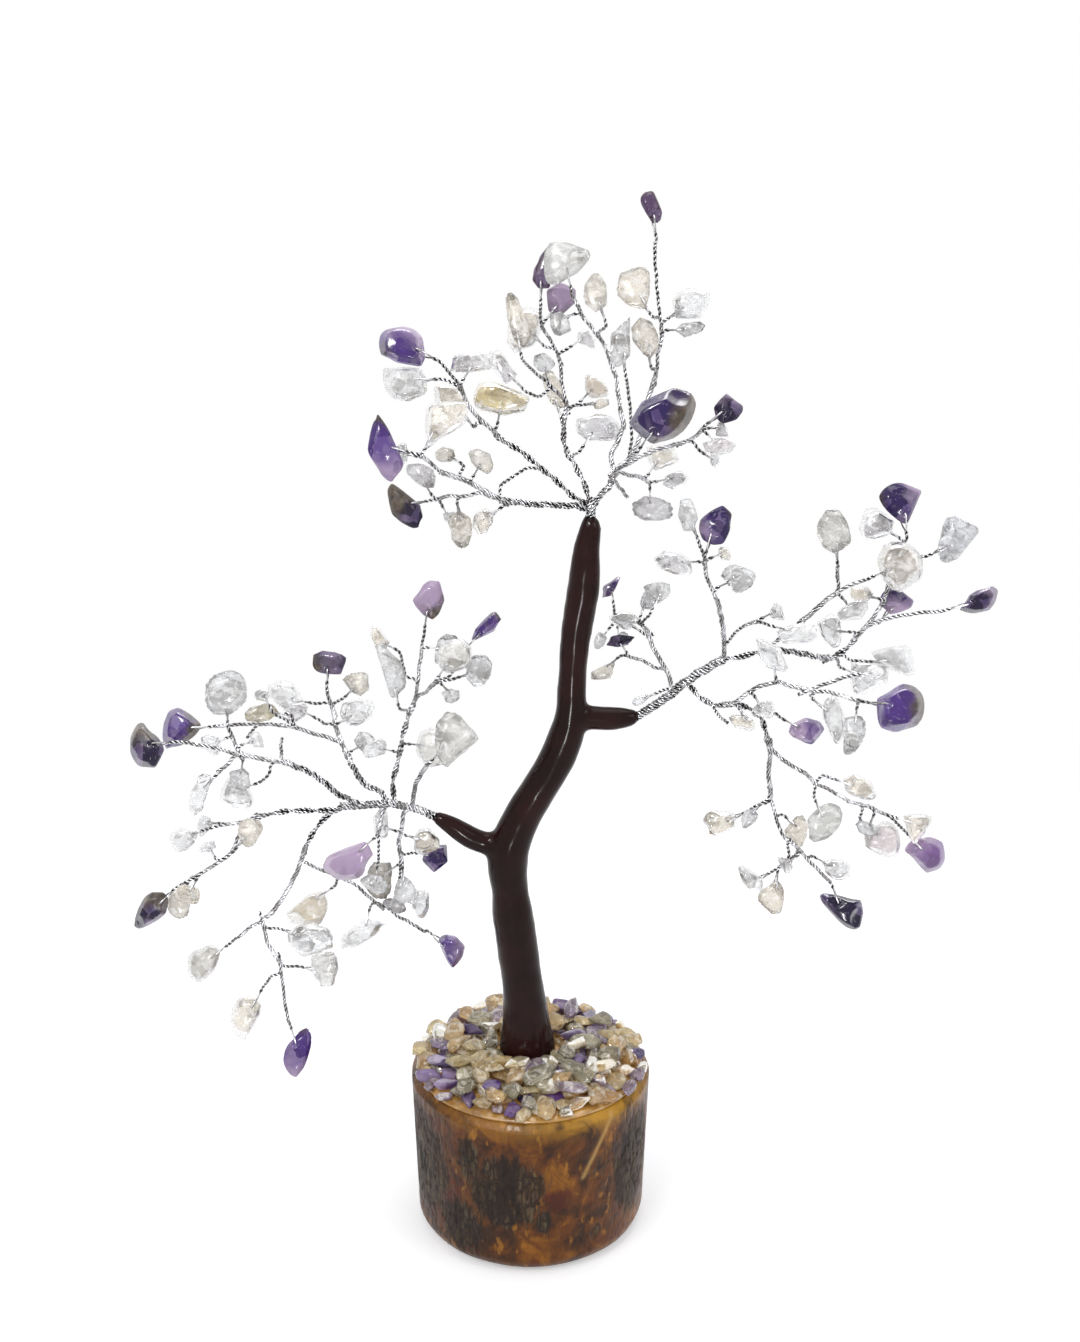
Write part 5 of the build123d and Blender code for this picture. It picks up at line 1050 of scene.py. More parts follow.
def zone(stone, share, angle, chance):
    """How much of a zone each corner of a stone has, for a zone on one side of it."""
    if not share:
        return np.zeros(len(stone.corners))
    arm = (stone.corners - stone.centre) / stone.size
    level = arm @ picture_way(angle) + 0.22 * waves(stone.ways, chance, 4, 5)
    edge = 0.8 * (1 - 2 * share)
    return np.clip(level - edge + 0.5, 0, 1)


def finish_wire(settings):
    """Silver-coloured craft wire: painted highlights on the strands' crests, painted shade where
    the strands meet.
    """
    made = Finish("silver_wire")
    place = made.place()
    dull = made.band(made.noise(place, 520.0, 3.0), 0.42, 0.60)
    crest = made.attribute("crest") + (made.noise(place, 1500.0, 2.0) - 0.5) * 0.35
    worn = made.mix(dull * 0.8, tuple(settings.bright), tuple(settings.dull))
    # Where the painted crest light is low, near black: painted shade between the strands and on a
    # rope's core.
    colour = made.mix(made.band(crest, 0.44, 0.90), shade("1e1a18"), worn)
    rough = 0.16 + 0.2 * made.noise(place, 900.0, 2.0)
    return made.done(made.gloss(Base_Color=colour, Metallic=1.0, Roughness=rough))


def finish_violet():
    """Amethyst: violet zones, a pale one and a brown-grey rind, polished."""
    made = Finish("tumbled_amethyst")
    place = made.moved(made.place(), made.attribute("seed", "Vector"))
    tone = made.attribute("tone", "Color")
    cloud = made.noise(place, 190.0, 4.0, 0.55, 0.8)
    fine = made.noise(place, 700.0, 3.0, 0.55)
    facet = made.cells(place, 330.0, 0.0011)
    deep = made.mix(made.band(cloud, 0.36, 0.66) * 0.7, tone, made.mix(0.62, tone, shade("150a2c")))
    deep = made.mix(made.band(facet, 0.50, 0.66) * 0.34, deep, made.mix(0.5, tone, shade("a98fd0")))
    pale = (made.attribute("pale") + (cloud - 0.5) * 1.3 + (facet - 0.5) * 0.5).clamped()
    violet = made.mix(pale, deep, PALE_ZONE)
    share = made.attribute("rind") + (fine - 0.5) * 0.6 + (cloud - 0.5) * 0.9
    rind = made.band(share, 0.30, 0.95)
    skin = made.mix(made.band(fine, 0.35, 0.65), RIND_BROWN, shade("40362f"))
    colour = made.mix(rind, violet, skin)
    scratch = made.band(made.noise(made.spread(place, (1.0, 3.2, 0.7)), 600.0, 2.0, 0.5, 1.6),
                        0.62, 0.66)
    colour = made.mix(scratch * 0.14, colour, shade("d9cfe2"))
    rough = 0.07 + 0.12 * fine + 0.20 * rind
    bumps = made.bump(facet + fine * 0.3, 0.16, 0.0002)
    return made.done(made.gloss(Base_Color=colour, Roughness=rough, Normal=bumps, IOR=STONE_IOR,
                                Specular_IOR_Level=0.22, Transmission_Weight=0.22))


def finish_clear(name, through, glow, dim, marked):
    """Quartz: clear, with flat cells inside painted from a dim colour to white as painted
    refraction shade, veils, milky zones, and a painted grey reflection at grazing edges.
    """
    made = Finish(name)
    place = made.moved(made.place(), made.attribute("seed", "Vector"))
    tint = made.attribute("tone", "Color")
    milk = made.attribute("milk")
    cloud = made.noise(place, 170.0, 3.0, 0.5, 0.6)
    facet = made.cells(place, 260.0, 0.0016)
    small = made.cells(made.spread(place, (1.0, 0.6, 1.5)), 640.0, 0.0009)
    veil = made.band(made.noise(made.spread(place, (1.0, 0.5, 1.4)), 300.0, 3.0, 0.55, 1.8),
                     0.52, 0.60)
    # Flat cells painted from the dim colour to white: painted refraction shade.
    stops = [(0.30, 0.0), (0.39, 0.35), (0.47, 0.75), (0.56, 1.0)]
    painted_refraction_shade = made.ramp(facet * 0.70 + small * 0.30, [
        (level, tuple(part + (1 - part) * white for part in dim)) for level, white in stops])
    colour = made.mix(marked, tint, painted_refraction_shade, "MULTIPLY")
    colour = made.mix(veil * 0.55, colour, shade("fbfaf8"))
    colour = made.mix(milk * made.band(cloud, 0.36, 0.60) * 0.6, colour,
                      made.mix(0.5, tint, shade("f6f4f0")))
    rough = 0.03 + 0.08 * veil
    bumps = made.bump(facet + small * 0.4, 0.08 + 0.32 * marked, 0.00035)
    clear = made.gloss(Base_Color=colour, Roughness=rough, Normal=bumps, IOR=STONE_IOR,
                       Transmission_Weight=through)
    solid = made.gloss(Base_Color=made.mix(0.30, colour, glow), Roughness=0.16, Normal=bumps,
                       IOR=STONE_IOR)
    share = milk * 0.50 + veil * 0.26 + made.band(small, 0.56, 0.62) * 0.20
    share = (share + (cloud - 0.5) * 0.5).clamped()
    # Toward grazing angles the stone is mixed with a grey one: a painted dark reflection round its
    # edges.
    facing = made.node("ShaderNodeLayerWeight", {}, {"Blend": 0.5}, output=1)
    rim = made.gloss(Base_Color=made.mix(0.5, colour, shade("807e7c")), Roughness=0.05,
                     IOR=STONE_IOR, Transmission_Weight=through)
    edge = made.band(facing, 0.62, 0.97) * (marked - 0.12)
    return made.done(made.blended(edge, made.blended(share, clear, solid), rim))


def finish_lacquer(settings):
    """Thick red-brown gloss lacquer."""
    made = Finish("trunk_lacquer")
    place = made.place()
    swell = made.noise(place, 120.0, 3.0, 0.5)
    dust = made.noise(place, 1500.0, 2.0, 0.5)
    colour = made.mix(made.band(swell, 0.35, 0.70), tuple(settings.lacquer), shade("2b1312"))
    rough = 0.10 + 0.08 * swell + 0.03 * dust
    bumps = made.bump(swell, 0.12, 0.0004)
    return made.done(made.gloss(Base_Color=colour, Roughness=rough, Normal=bumps,
                                IOR=LACQUER_IOR, Specular_IOR_Level=0.16))


def finish_glue(settings):
    """Clear amber glue that has run between the chips."""
    made = Finish("amber_glue")
    place = made.place()
    pool = made.noise(place, 190.0, 4.0, 0.55, 0.5)
    colour = made.mix(made.band(pool, 0.35, 0.65), tuple(settings.glue), shade("8c6430"))
    colour = made.mix(made.band(made.noise(place, 420.0, 3.0), 0.55, 0.7) * 0.5, colour,
                      shade("d2b483"))
    bumps = made.bump(made.noise(place, 520.0, 3.0), 0.5, 0.0004)
    return made.done(made.gloss(Base_Color=colour, Roughness=0.10 + 0.1 * pool, Normal=bumps,
                                IOR=VARNISH_IOR, Coat_Weight=0.6, Coat_Roughness=0.05))


def finish_log(settings):
    """A varnished log: amber wood with dark bark left in patches."""
    made = Finish("varnished_log")
    place = made.place()
    upright = made.spread(place, (1.0, 1.0, 0.16))
    blotch = made.noise(place, 130.0, 6.0, 0.62, 0.7)
    fibre = made.noise(upright, 900.0, 4.0, 0.65)
    streak = made.noise(upright, 330.0, 5.0, 0.6, 0.3)
    wood = made.ramp(blotch, [(0.30, shade("221007")), (0.42, shade("45250c")),
                              (0.54, tuple(settings.varnish)), (0.70, shade("99611a"))])
    wood = made.mix(made.band(streak, 0.50, 0.70) * 0.7, wood, shade("35200f"))
    wood = made.mix(made.band(made.noise(place, 75.0, 4.0, 0.6, 0.5), 0.56, 0.68) * 0.65, wood,
                    shade("531f10"))
    flecks = made.band(made.noise(made.spread(place, (1.0, 1.0, 0.45)), 420.0, 3.0), 0.60, 0.70)
    wood = made.mix(flecks * 0.55, wood, shade("b57a2a"))
    golden = made.attribute("rim") * made.band(blotch, 0.30, 0.55)
    wood = made.mix(golden, wood, shade("b58529"))
    skin = made.mix(made.band(fibre, 0.40, 0.70), tuple(settings.bark), shade("5c4f3b"))
    skin = made.mix(made.band(streak, 0.44, 0.62), skin, shade("21160f"))
    drift = made.moved(place, made.spread(made.noise(place, 300.0, 2.0), (0.002, 0.002, 0.004)))
    dry = made.node("ShaderNodeTexVoronoi", {"feature": "DISTANCE_TO_EDGE"},
                    {"Vector": made.spread(drift, (1.0, 1.0, 0.42)), "Scale": 620.0})
    skin = made.mix((1 - made.band(dry, 0.02, 0.16)) * 0.85, skin, shade("120b07"))
    left = made.attribute("bark") + (blotch - 0.5) + (fibre - 0.5) * 0.7
    share = made.band(left, 0.34, 0.58)
    colour = made.mix(share * 0.92, wood, skin)
    # The cracks are also painted near black: painted shade in them.
    colour = made.mix(made.attribute("crack") * 0.85, colour, shade("140c08"))
    colour = made.mix(made.attribute("foot") * 0.6, colour, shade("2c190c"))
    colour = made.mix(made.attribute("scratch") * 0.7, colour, shade("c39a5a"))
    rough = 0.26 + 0.22 * share + 0.1 * fibre
    bumps = made.bump(fibre + streak * 0.8, 0.55, 0.0005)
    return made.done(made.gloss(Base_Color=colour, Roughness=rough, Normal=bumps, IOR=VARNISH_IOR,
                                Specular_IOR_Level=0.18, Coat_Weight=0.06,
                                Coat_Roughness=0.12))


def finish_floor():
    """A white floor that keeps the shadow near the log and shows white farther out."""
    made = Finish("studio_floor")
    seen = made.seen()
    lit = made.node("ShaderNodeBsdfDiffuse", {}, {"Color": shade("e9e9ea")})
    glow = made.node("ShaderNodeEmission", {}, {"Color": shade("ffffff"), "Strength": 0.36})
    near = made.blended(seen, lit, made.node("ShaderNodeAddShader", {}, {0: lit, 1: glow}))
    white = made.node("ShaderNodeEmission", {}, {"Color": shade("ffffff"), "Strength": 1.0})
    apart = made.node("ShaderNodeVectorMath", {"operation": "LENGTH"}, {0: made.place()}, output=1)
    return made.done(made.blended(made.band(apart, 0.09, 0.40) * seen, near, white))


def studio_air():
    """A plain even light from all round, which is seen as white."""
    made = Finish("studio_air", bpy.data.worlds, "ShaderNodeOutputWorld")
    air = made.node("ShaderNodeBackground", {}, {"Color": (0.95, 0.97, 1.0), "Strength": 0.62})
    white = made.node("ShaderNodeBackground", {}, {"Color": (1.0, 1.0, 1.0), "Strength": 1.0})
    return made.done(made.blended(made.seen(), air, white))


def log_outline(heights, turns):
    """The radius of the log's solid at each height and turn."""
    corners, triangles = solids_of("wood_base")[0]
    skin = BVHTree.FromPolygons([Vector(row) for row in corners], triangles.tolist())
    radii = np.empty((len(heights), len(turns)))
    for row, height in enumerate(heights):
        for column, turn in enumerate(turns):
            way = Vector((math.cos(turn), math.sin(turn), 0))
            hit = skin.ray_cast(Vector((0, 0, height)) + way * LOG_PAST, -way)[0]
            radii[row, column] = math.hypot(hit.x, hit.y)
    return radii


def bark_left(shares, facing):
    """How much bark is left at each height share and turn from the viewer."""
    bark = np.zeros((len(shares), len(facing)))
    for patch in BARK_PATCHES:
        off = (facing - patch.turn + 180) % 360 - 180
        rise = np.exp(-((shares - patch.level) / patch.tall) ** 2)[:, None]
        bark = np.maximum(bark, rise * np.exp(-(off / patch.wide) ** 2) * patch.much)
    return bark


def bark_cracks(heights, turns, bark):
    """Upright cracks in the bark, and the unevenness between them."""
    crack = np.zeros_like(bark)
    rough = np.zeros_like(bark)
    for row, height in enumerate(heights):
        for column, turn in enumerate(turns):
            place = Vector((math.cos(turn) * 27, math.sin(turn) * 27, height / MM))
            upright = Vector([part * share for part, share in zip(place, CRACK_STRETCH)])
            wide = 1 - abs(noise.noise(upright)) * 2
            fine = 1 - abs(noise.noise(upright * CRACK_FINER + Vector((5, 3, 1)))) * 2
            much = bark[row, column]
            crack[row, column] = (max(0, wide - WIDE_CRACKS[0]) * WIDE_CRACKS[1] * much
                                  + max(0, fine - FINE_CRACKS[0]) * FINE_CRACKS[1] * much ** 0.5)
            rough[row, column] = 0.5 + 0.5 * noise.noise(place * ROUGH_SCALE)
    return np.clip(crack, 0, 1), rough


def pale_scratch(shares, facing):
    """A straight scratch that slants up the log's front."""
    scratch = np.zeros((len(shares), len(facing)))
    for share in np.linspace(0, 1, 160):
        turn, level = (start + run * share for start, run in zip(SCRATCH_START, SCRATCH_RUN))
        off = np.hypot((facing - turn)[None, :] / SCRATCH_WIDTH[0],
                       (shares - level)[:, None] / SCRATCH_WIDTH[1])
        scratch = np.maximum(scratch, np.exp(-off ** 2))
    return scratch


def golden_rim(shares, facing):
    """Where the wood is golden near its top edge, most of all at the front's right."""
    rise = np.clip((shares - RIM_START) / RIM_RISE, 0, 1)[:, None] ** 1.5
    return rise * (0.15 + 0.85 * np.exp(-((facing - RIM_TURN) / RIM_REACH) ** 2))[None, :]


def log_end(pile, edge, level, order, rim):
    """A flat end of the log, in rings inside its edge."""
    rings = [edge]
    for share in (0.97, 0.9, 0.75, 0.5, 0.25):
        ring = edge * share
        ring[:, 2] = level
        rings.append(ring)
    count = len(edge)
    corners = np.vstack((*rings, (0.0, 0.0, level)))
    here = (len(rings) - 1) * count + np.arange(count)
    fan = np.stack((here, np.roll(here, -1), np.full(count, len(corners) - 1)), axis=1)
    golden = np.concatenate((np.tile(rim, len(rings)), (0.5,))) * max(order, 0)
    pile.add(corners, [ring_faces(len(rings), count)[:, ::order], fan[:, ::order]],
             bark=0.0, crack=0.0, rim=golden, scratch=0.0, foot=0.0)


class TREE_OT_log(bpy.types.Operator):
    """The log slice, with its bark, its cracks and its golden rim"""

    bl_idname = "gem_tree.log"
    bl_label = "Log base"

    def execute(self, context):
        settings = context.scene.tree_stand
        low, high = (np.array(corner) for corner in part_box("wood_base"))
        turns = np.linspace(0, math.tau, 360, endpoint=False)
        facing = (np.degrees(turns) + 90 + 180) % 360 - 180
        shares = np.concatenate((np.linspace(0.001, 0.04, 6), np.linspace(0.05, 0.95, 64),
                                 np.linspace(0.96, 0.999, 6)))
        heights = low[2] + shares * (high[2] - low[2])
        worn = np.clip(1 - (heights - low[2]) / FOOT_REACH, 0, 1) ** 2 * FOOT_WORN
        bark = bark_left(shares, facing)
        crack, rough = bark_cracks(heights, turns, bark)
        depth = settings.relief * (0.85 * crack + 0.35 * rough * (0.3 + 0.7 * bark))
        radii = log_outline(heights, turns) - worn[:, None] - depth
        corners = np.stack((radii * np.cos(turns), radii * np.sin(turns),
                            np.broadcast_to(heights[:, None], radii.shape)), axis=2)
        rim = golden_rim(shares, facing)
        foot = np.broadcast_to(np.clip(1 - shares / FOOT_DARK, 0, 1)[:, None], radii.shape)
        pile = Pile()
        pile.add(corners.reshape(-1, 3), [ring_faces(*radii.shape)], bark=bark.ravel(),
                 crack=crack.ravel(), rim=rim.ravel(),
                 scratch=pale_scratch(shares, facing).ravel(), foot=foot.ravel())
        log_end(pile, corners[0], low[2], -1, rim[0])
        log_end(pile, corners[-1], high[2], 1, rim[-1])
        thing = pile.piece("log_base", finish_log(settings), "stand", "log", ["wood_base"])
        weld(thing.data, SAME_CORNER)
        return {"FINISHED"}


def weld(mesh, apart):
    """Joins corners that lie in the same place."""
    made = bmesh.new()
    made.from_mesh(mesh)
    bmesh.ops.remove_doubles(made, verts=made.verts, dist=apart)
    made.to_mesh(mesh)
    made.free()


class TREE_OT_glue(bpy.types.Operator):
    """The bed of amber glue, uneven where it ran between the chips"""

    bl_idname = "gem_tree.glue"
    bl_label = "Glue bed"

    def execute(self, context):
        settings = context.scene.tree_stand
        low, high = (np.array(corner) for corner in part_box("glue_bed"))
        wide = (high[0] - low[0]) / 2
        foot = trunk_foot()
        turns = np.linspace(0, math.tau, 180, endpoint=False)
        outs = np.concatenate((np.linspace(0.08, 0.97, 56), (0.99, 1.0))) * wide
        corners = []
        for out in outs:
            for turn in turns:
                place = Vector((math.cos(turn) * out, math.sin(turn) * out, 0))
                dip = GLUE_DIP
                if out < wide * 0.985:
                    dip *= 0.5 + 0.5 * noise.noise(place / MM * 0.55)
                rise = float(heap_rise((place.x, place.y), foot))
                rise += GLUE_CROWN * (1 - (out / wide) ** 6)
                corners.append((place.x, place.y, high[2] - dip + rise))
        for turn in turns:
            corners.append((math.cos(turn) * wide, math.sin(turn) * wide, low[2]))
        middle = high[2] + float(heap_rise((0.0, 0.0), foot)) + GLUE_MIDDLE
        corners += [(0.0, 0.0, middle), (0.0, 0.0, low[2])]
        rings = len(outs) + 1
        here = np.arange(len(turns))
        after = np.roll(here, -1)
        last = (rings - 1) * len(turns)
        top = np.full(len(turns), len(corners) - 2)
        faces = [ring_faces(rings, len(turns))[:, [0, 3, 2, 1]],
                 np.stack((top, here, after), axis=1),
                 np.stack((top + 1, last + after, last + here), axis=1)]
        pile = Pile()
        pile.add(np.array(corners), faces)
        pile.piece("amber_glue_bed", finish_glue(settings), "stand", "glue", ["glue_bed"])
        return {"FINISHED"}


class TREE_OT_trunk(bpy.types.Operator):
    """The lacquered trunk with its two arms, in one thick glossy skin"""

    bl_idname = "gem_tree.trunk"
    bl_label = "Trunk"

    def execute(self, context):
        settings = context.scene.tree_stand
        pile = Pile()
        for node in ("trunk_coating", "core_top", "core_left", "core_right"):
            for corners, triangles in solids_of(node):
                pile.add(corners, [triangles])
        rough = pile.piece("trunk_rough", None, "stand", "lacquer", [], rides=False)
        remesh = rough.modifiers.new("Skin", "REMESH")
        remesh.mode = "VOXEL"
        remesh.voxel_size = SKIN_GRAIN
        ready = rough.evaluated_get(context.evaluated_depsgraph_get())
        mesh = bpy.data.meshes.new_from_object(ready)
        bpy.data.objects.remove(rough)
        corners = values_of(mesh.vertices, "co", 3).astype(float)
        edges = values_of(mesh.edges, "vertices", 2, np.int32)
        degree = np.bincount(edges.ravel(), minlength=len(corners))[:, None]
        for _ in range(SKIN_ROUNDS):
            total = np.zeros_like(corners)
            np.add.at(total, edges[:, 0], corners[edges[:, 1]])
            np.add.at(total, edges[:, 1], corners[edges[:, 0]])
            corners = corners * SKIN_KEPT + total / degree * (1 - SKIN_KEPT)
        mesh.vertices.foreach_set("co", corners.astype(np.float32).ravel())
        mesh.update()
        swell = np.array([noise.noise(Vector(row) / MM * SWELLS) + 0.5 * noise.noise(
            Vector(row) / MM * SMALL_SWELLS + Vector((7, 1, 3))) for row in corners])
        normals = values_of(mesh.vertices, "normal", 3)
        corners = corners + normals * (SKIN_THICK + swell * settings.lump)[:, None]
        polygons = np.array([list(face.vertices) for face in mesh.polygons])
        fresh = Pile()
        fresh.add(corners, [polygons])
        fresh.piece("lacquered_trunk", finish_lacquer(settings), "stand", "lacquer",
                    ["trunk_coating"])
        bpy.data.meshes.remove(mesh)
        wire = finish_wire(context.scene.tree_wire)
        for limb in LIMBS:
            frame["nodes"]["core_" + limb].material_slots[0].material = wire
        return {"FINISHED"}


def sorted_stems(lines, eyes):
    """The stems that carry others, and the twigs that end at an eye, each with the eye's way."""
    pivots = {joint["child"]: np.array(joint["pos_m"]) for joint in frame["joints"]}
    eye_ends = np.array([[line.points[0], line.points[-1]] for line in eyes])
    eye_necks = eye_ends.mean(axis=1)
    carriers = []
    twigs = []
    for line in lines:
        line = line._replace(points=even(line.points, STEM_STEP))
        tips = np.linalg.norm(eye_necks[:, None] - line.points[[0, -1]], axis=2)
        eye, last = np.unravel_index(tips.argmin(), tips.shape)
        if tips.min() < TWIG_REACH and not line.node.endswith("_bundle"):
            points = line.points if last else line.points[::-1]
            ends = eye_ends[eye]
            tip = points[-1] + unit(points[-1] - points[-2]) * (tips.min() + TWIG_OVERLAP)
            twigs.append((line._replace(points=np.vstack((points, tip))),
                          unit(ends[1] - ends[0])))
            continue
        out = np.linalg.norm(line.points[[0, -1]] - pivots[line.body], axis=1)
        order = 1 if out[0] <= out[1] else -1
        carriers.append(line._replace(points=line.points[::order]))
    return carriers, twigs


def limb_root(joint, bundles, settings, wire):
    """A limb's twisted bundle from inside the lacquer on."""
    limb = joint["child"].replace("_limb", "")
    line = [row for row in bundles if row.node == limb + "_bundle"][0]
    pivot = np.array(joint["pos_m"])
    points = line.points
    if np.linalg.norm(points[0] - pivot) > np.linalg.norm(points[-1] - pivot):
        points = points[::-1]
    points = points[np.linalg.norm(points - pivot, axis=1) > line.radius * ROOT_CLEAR]
    inward = unit(pivot - points[0])
    root = [pivot + inward * back for back in ROOT_BACKS]
    pile = Pile()
    chance = np.random.default_rng(place_seed(pivot))
    twist(pile, np.vstack((root, points)), line.radius, settings, chance)
    piece = pile.piece(limb + "_bundle_twisted", wire, None, "wire", [limb + "_bundle"],
                       rides=False)
    tuple(pivot + inward * BEND_IN)
    tuple(pivot - inward * BEND_OUT)
    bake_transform(piece)


class TREE_OT_wires(bpy.types.Operator):
    """Every stem and twig as twisted strands, and the limbs' roots"""

    bl_idname = "gem_tree.wires"
    bl_label = "Twisted wires"

    def execute(self, context):
        settings = context.scene.tree_wire
        wire = finish_wire(settings)
        bundles = wire_lines("_bundle")
        eyes = wire_lines("_wire_eyes")
        carriers, twigs = sorted_stems(bundles + wire_lines("_wires"), eyes)
        piles = {}
        for line, end_way in [(line, None) for line in carriers] + twigs:
            if line.node.endswith("_bundle"):
                continue
            near = [other for other in carriers if other.body == line.body]
            chance = np.random.default_rng(place_seed(line.points.mean(axis=0)))
            pile = piles.setdefault(line.node, Pile())
            radius = line.radius * STEM_SHARES[line.node.split("_")[0]]
            twist(pile, join_on(line.points, line, near), radius, settings, chance, end_way)
        for node, pile in piles.items():
            pile.piece(node + "_twisted", wire, body_of_node(node), "wire", [node])
        for joint in frame["joints"]:
            limb_root(joint, bundles, settings, wire)
        for limb in LIMBS:
            pile = Pile()
            for line in eyes:
                if line.node.startswith(limb):
                    points = eased(even(line.points, EYE_STEP), EYE_EASING)
                    _, across, _ = frames_along(points)
                    # A weak painted highlight on one side of the eye's wire and painted shade on
                    # the other.
                    tube(pile, points, across, line.radius, EYE_SIDES, painted_groove_shade=0.15)
            pile.piece(limb + "_wire_eyes_round", wire, limb + "_limb", "wire",
                       [limb + "_wire_eyes"])
        return {"FINISHED"}


class TREE_OT_amethysts(bpy.types.Operator):
    """The violet stones on the wires"""

    bl_idname = "gem_tree.amethysts"
    bl_label = "Amethysts"

    def execute(self, context):
        settings = context.scene.tree_stone
        finish = finish_violet()
        ball = ico_sphere(5)
        spots = np.array([look.centre_pixels for look in VIOLET_LOOKS], float)
        for limb in LIMBS:
            pile = Pile()
            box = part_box(limb + "_amethysts")
            for corners, triangles in solids_of(limb + "_amethysts"):
                stone = tumble(corners, triangles, ball, settings.edge, AMETHYST_WEAR)
                stone = grown(stone, settings.grow * AMETHYST_WEAR.growth, box)
                seen = np.array(to_picture(stone.centre))
                look = VIOLET_LOOKS[int(np.linalg.norm(spots - seen, axis=1).argmin())]
                chance = np.random.default_rng(place_seed(stone.centre))
                pile.add(stone.corners, [stone.triangles], tone=np.array(TONES[look.tone]),
                         pale=zone(stone, look.pale, look.pale_way, chance),
                         rind=zone(stone, look.rind, look.rind_way, chance),
                         seed=chance.uniform(0, 0.9, 3))
            pile.piece(limb + "_amethysts_tumbled", finish, limb + "_limb", "amethyst",
                       [limb + "_amethysts"])
        return {"FINISHED"}


class TREE_OT_quartz(bpy.types.Operator):
    """The clear stones on the wires"""

    bl_idname = "gem_tree.quartz"
    bl_label = "Quartz"

    def execute(self, context):
        settings = context.scene.tree_stone
        finish = finish_clear("tumbled_quartz", through=0.85, glow=shade("fffefc"),
                              dim=shade("a3a09c"), marked=0.92)
        ball = ico_sphere(4)
        spots = np.array([look[0] for look in CLEAR_LOOKS], float)
        tints = [settings.clear, settings.cream, settings.grey, settings.clear]
        for node in sorted(frame["nodes"]):
            if not node.endswith("_quartz") or node.startswith("base"):
                continue
            pile = Pile()
            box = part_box(node)
            for corners, triangles in solids_of(node):
                stone = tumble(corners, triangles, ball, settings.edge, QUARTZ_WEAR)
                stone = grown(stone, settings.grow * QUARTZ_WEAR.growth, box)
                seen = np.array(to_picture(stone.centre))
                apart = np.linalg.norm(spots - seen, axis=1)
                chance = np.random.default_rng(place_seed(stone.centre))
                tint = tuple(tints[int(chance.integers(len(tints)))])
                milk = chance.uniform(0.0, MILK_MOST) ** MILK_CURVE
                if apart.min() < SPOT_REACH_pixels:
                    tint, milk = CLEAR_LOOKS[int(apart.argmin())][1:]
                pile.add(stone.corners, [stone.triangles], tone=np.array(tint), milk=milk,
                         seed=chance.uniform(0, 0.9, 3))
            pile.piece(node + "_tumbled", finish, body_of_node(node), "quartz", [node])
        return {"FINISHED"}


class TREE_OT_chips(bpy.types.Operator):
    """The small chips that lie in the glue"""

    bl_idname = "gem_tree.chips"
    bl_label = "Glued chips"

    def execute(self, context):
        settings = context.scene.tree_stone
        ball = ico_sphere(3)
        clear = finish_clear("glued_quartz", through=0.74, glow=shade("dfc892"),
                             dim=shade("b89a62"), marked=0.30)
        violet = finish_violet()
        tints = [settings.amber, shade("beb596"), shade("e4d2a2"), shade("e2c992"),
                 shade("a59e88"), shade("e4c288"), shade("a08dac")]
        tones = [TONES["deep"], TONES["mid"], shade("43285f"), shade("633f7c")]
        foot = trunk_foot()
        for kind in ("quartz", "amethyst"):
            node = "base_chips_" + kind
            pile = Pile()
            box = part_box("wood_base")
            box = (box[0], (box[1][0], box[1][1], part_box(node)[1][2]))
            for corners, triangles in solids_of(node):
                stone = tumble(corners, triangles, ball, settings.edge, CHIP_WEAR)
                chance = np.random.default_rng(place_seed(stone.centre))
                stone = heaped(grown(stone, CHIP_WEAR.growth, box, chance), foot)
                seed = chance.uniform(0, 0.9, 3)
                if kind == "quartz":
                    tint = tuple(tints[int(chance.integers(len(tints)))])
                    pile.add(stone.corners, [stone.triangles], tone=np.array(tint),
                             milk=chance.uniform(0.0, CHIP_MILK_MOST), seed=seed)
                else:
                    tone = tones[int(chance.integers(len(tones)))]
                    pile.add(stone.corners, [stone.triangles], tone=np.array(tone),
                             pale=chance.uniform(0, 0.35), rind=0.0, seed=seed)
            pile.piece(node + "_tumbled", clear if kind == "quartz" else violet, "stand", kind,
                       [node])
        return {"FINISHED"}


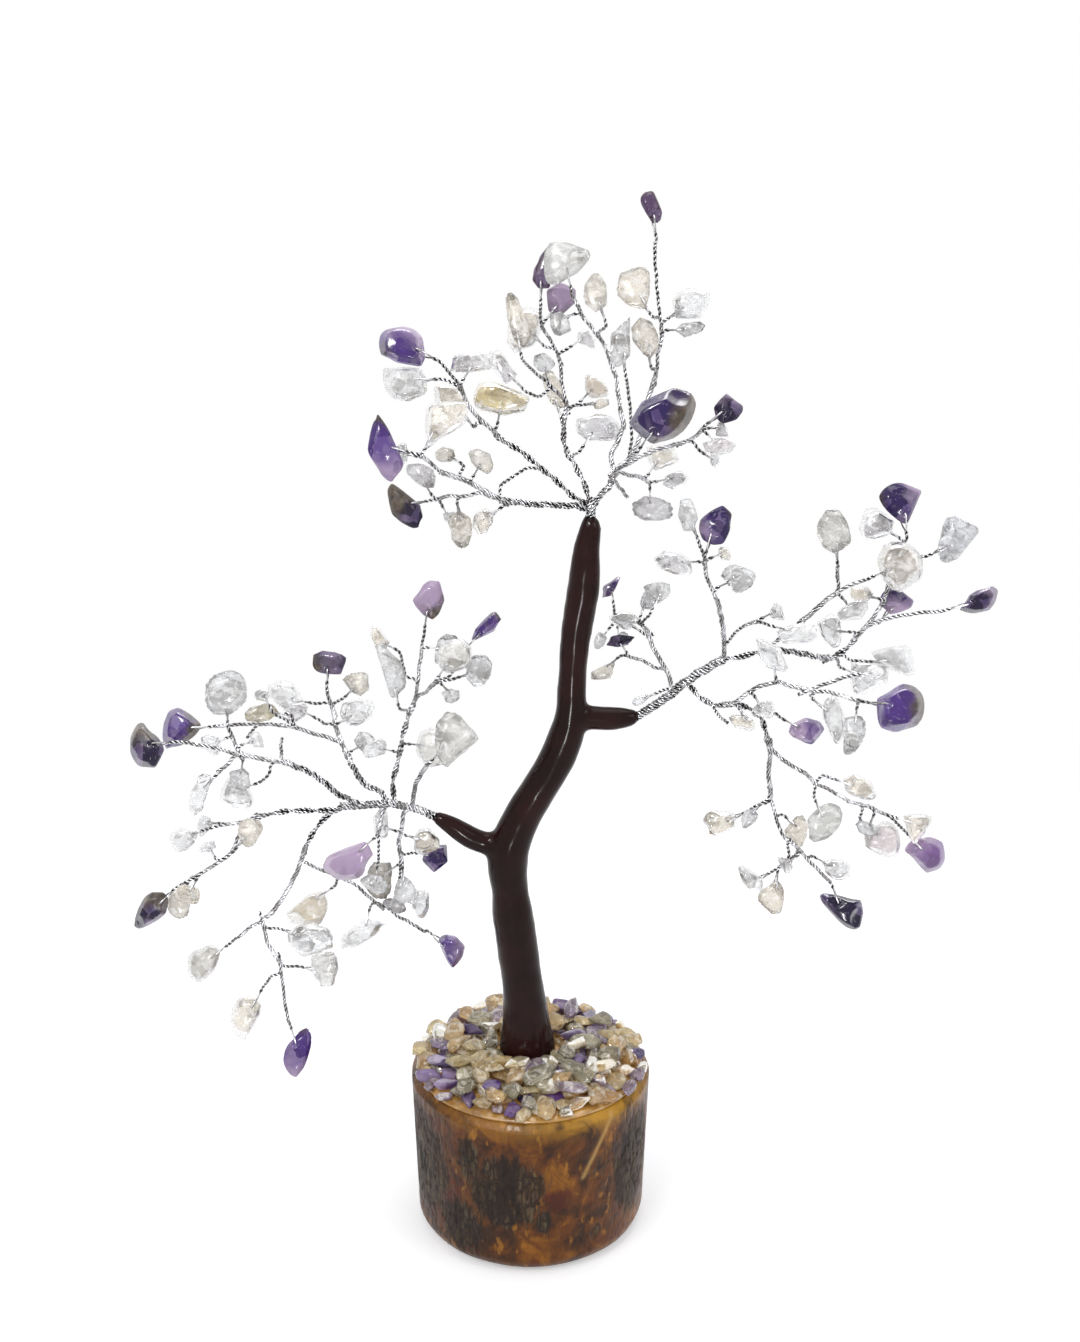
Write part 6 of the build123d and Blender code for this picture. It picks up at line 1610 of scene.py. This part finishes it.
class TREE_OT_stage(bpy.types.Operator):
    """White floor, soft lamps and the view"""

    bl_idname = "gem_tree.stage"
    bl_label = "Stage"

    def execute(self, context):
        scene = context.scene
        scene.view_settings.view_transform = "Standard"
        view = bpy.data.cameras.new("picture_view")
        view.sensor_width = SENSOR_mm
        view.lens = FOCAL_pixels * SENSOR_mm / PICTURE_pixels[1]
        view.clip_start = 0.01
        view.clip_end = 20.0
        eye = bpy.data.objects.new("picture_view", view)
        eye.location = VIEW_PLACE
        eye.rotation_euler = (math.radians(90 - VIEW_PITCH), 0.0, 0.0)
        scene.collection.objects.link(eye)
        scene.camera = eye
        mesh = bpy.data.meshes.new("studio_floor")
        turns = ((-1, -1), (1, -1), (1, 1), (-1, 1))
        mesh.from_pydata([(x * FLOOR_REACH, y * FLOOR_REACH, 0) for x, y in turns], [],
                         [(0, 1, 2, 3)])
        mesh.materials.append(finish_floor())
        floor = bpy.data.objects.new("studio_floor", mesh)
        scene.collection.objects.link(floor)
        for row in LAMPS:
            lamp = bpy.data.lights.new(row.name, "AREA")
            lamp.shape = "RECTANGLE"
            lamp.size = row.wide
            lamp.size_y = row.tall
            lamp.energy = row.power
            thing = bpy.data.objects.new(row.name, lamp)
            thing.location = row.place
            aim = Vector(LAMPS_AIM) - Vector(row.place)
            thing.rotation_euler = aim.to_track_quat("-Z", "Y").to_euler()
            thing.visible_camera = False
            thing.visible_diffuse = row.soft
            scene.collection.objects.link(thing)
        scene.world = studio_air()
        return {"FINISHED"}


STEPS = (TREE_OT_stage, TREE_OT_log, TREE_OT_glue, TREE_OT_chips, TREE_OT_trunk, TREE_OT_wires,
         TREE_OT_amethysts, TREE_OT_quartz)


class TREE_PT_panel(bpy.types.Panel):
    """Lists the steps that dress the tree"""

    bl_label = "Gem Tree"
    bl_idname = "TREE_PT_panel"
    bl_space_type = "VIEW_3D"
    bl_region_type = "UI"
    bl_category = "Gem Tree"

    def draw(self, context):
        for step in STEPS:
            self.layout.operator(step.bl_idname)
        for settings in (context.scene.tree_stand, context.scene.tree_wire,
                         context.scene.tree_stone):
            for key in settings.__annotations__:
                self.layout.prop(settings, key)


SETTINGS = (StandSettings, WireSettings, StoneSettings)


def register():
    for kind in (*SETTINGS, *STEPS, TREE_PT_panel):
        bpy.utils.register_class(kind)
    bpy.types.Scene.tree_stand = bpy.props.PointerProperty(type=StandSettings)
    bpy.types.Scene.tree_wire = bpy.props.PointerProperty(type=WireSettings)
    bpy.types.Scene.tree_stone = bpy.props.PointerProperty(type=StoneSettings)


def unregister():
    del bpy.types.Scene.tree_stand
    del bpy.types.Scene.tree_wire
    del bpy.types.Scene.tree_stone
    for kind in reversed((*SETTINGS, *STEPS, TREE_PT_panel)):
        bpy.utils.unregister_class(kind)


def main():
    register()
    bpy.ops.gem_tree.stage()
    bpy.ops.gem_tree.log()
    bpy.ops.gem_tree.glue()
    bpy.ops.gem_tree.chips()
    bpy.ops.gem_tree.trunk()
    bpy.ops.gem_tree.wires()
    bpy.ops.gem_tree.amethysts()
    bpy.ops.gem_tree.quartz()


if __name__ == "__main__":
    main()
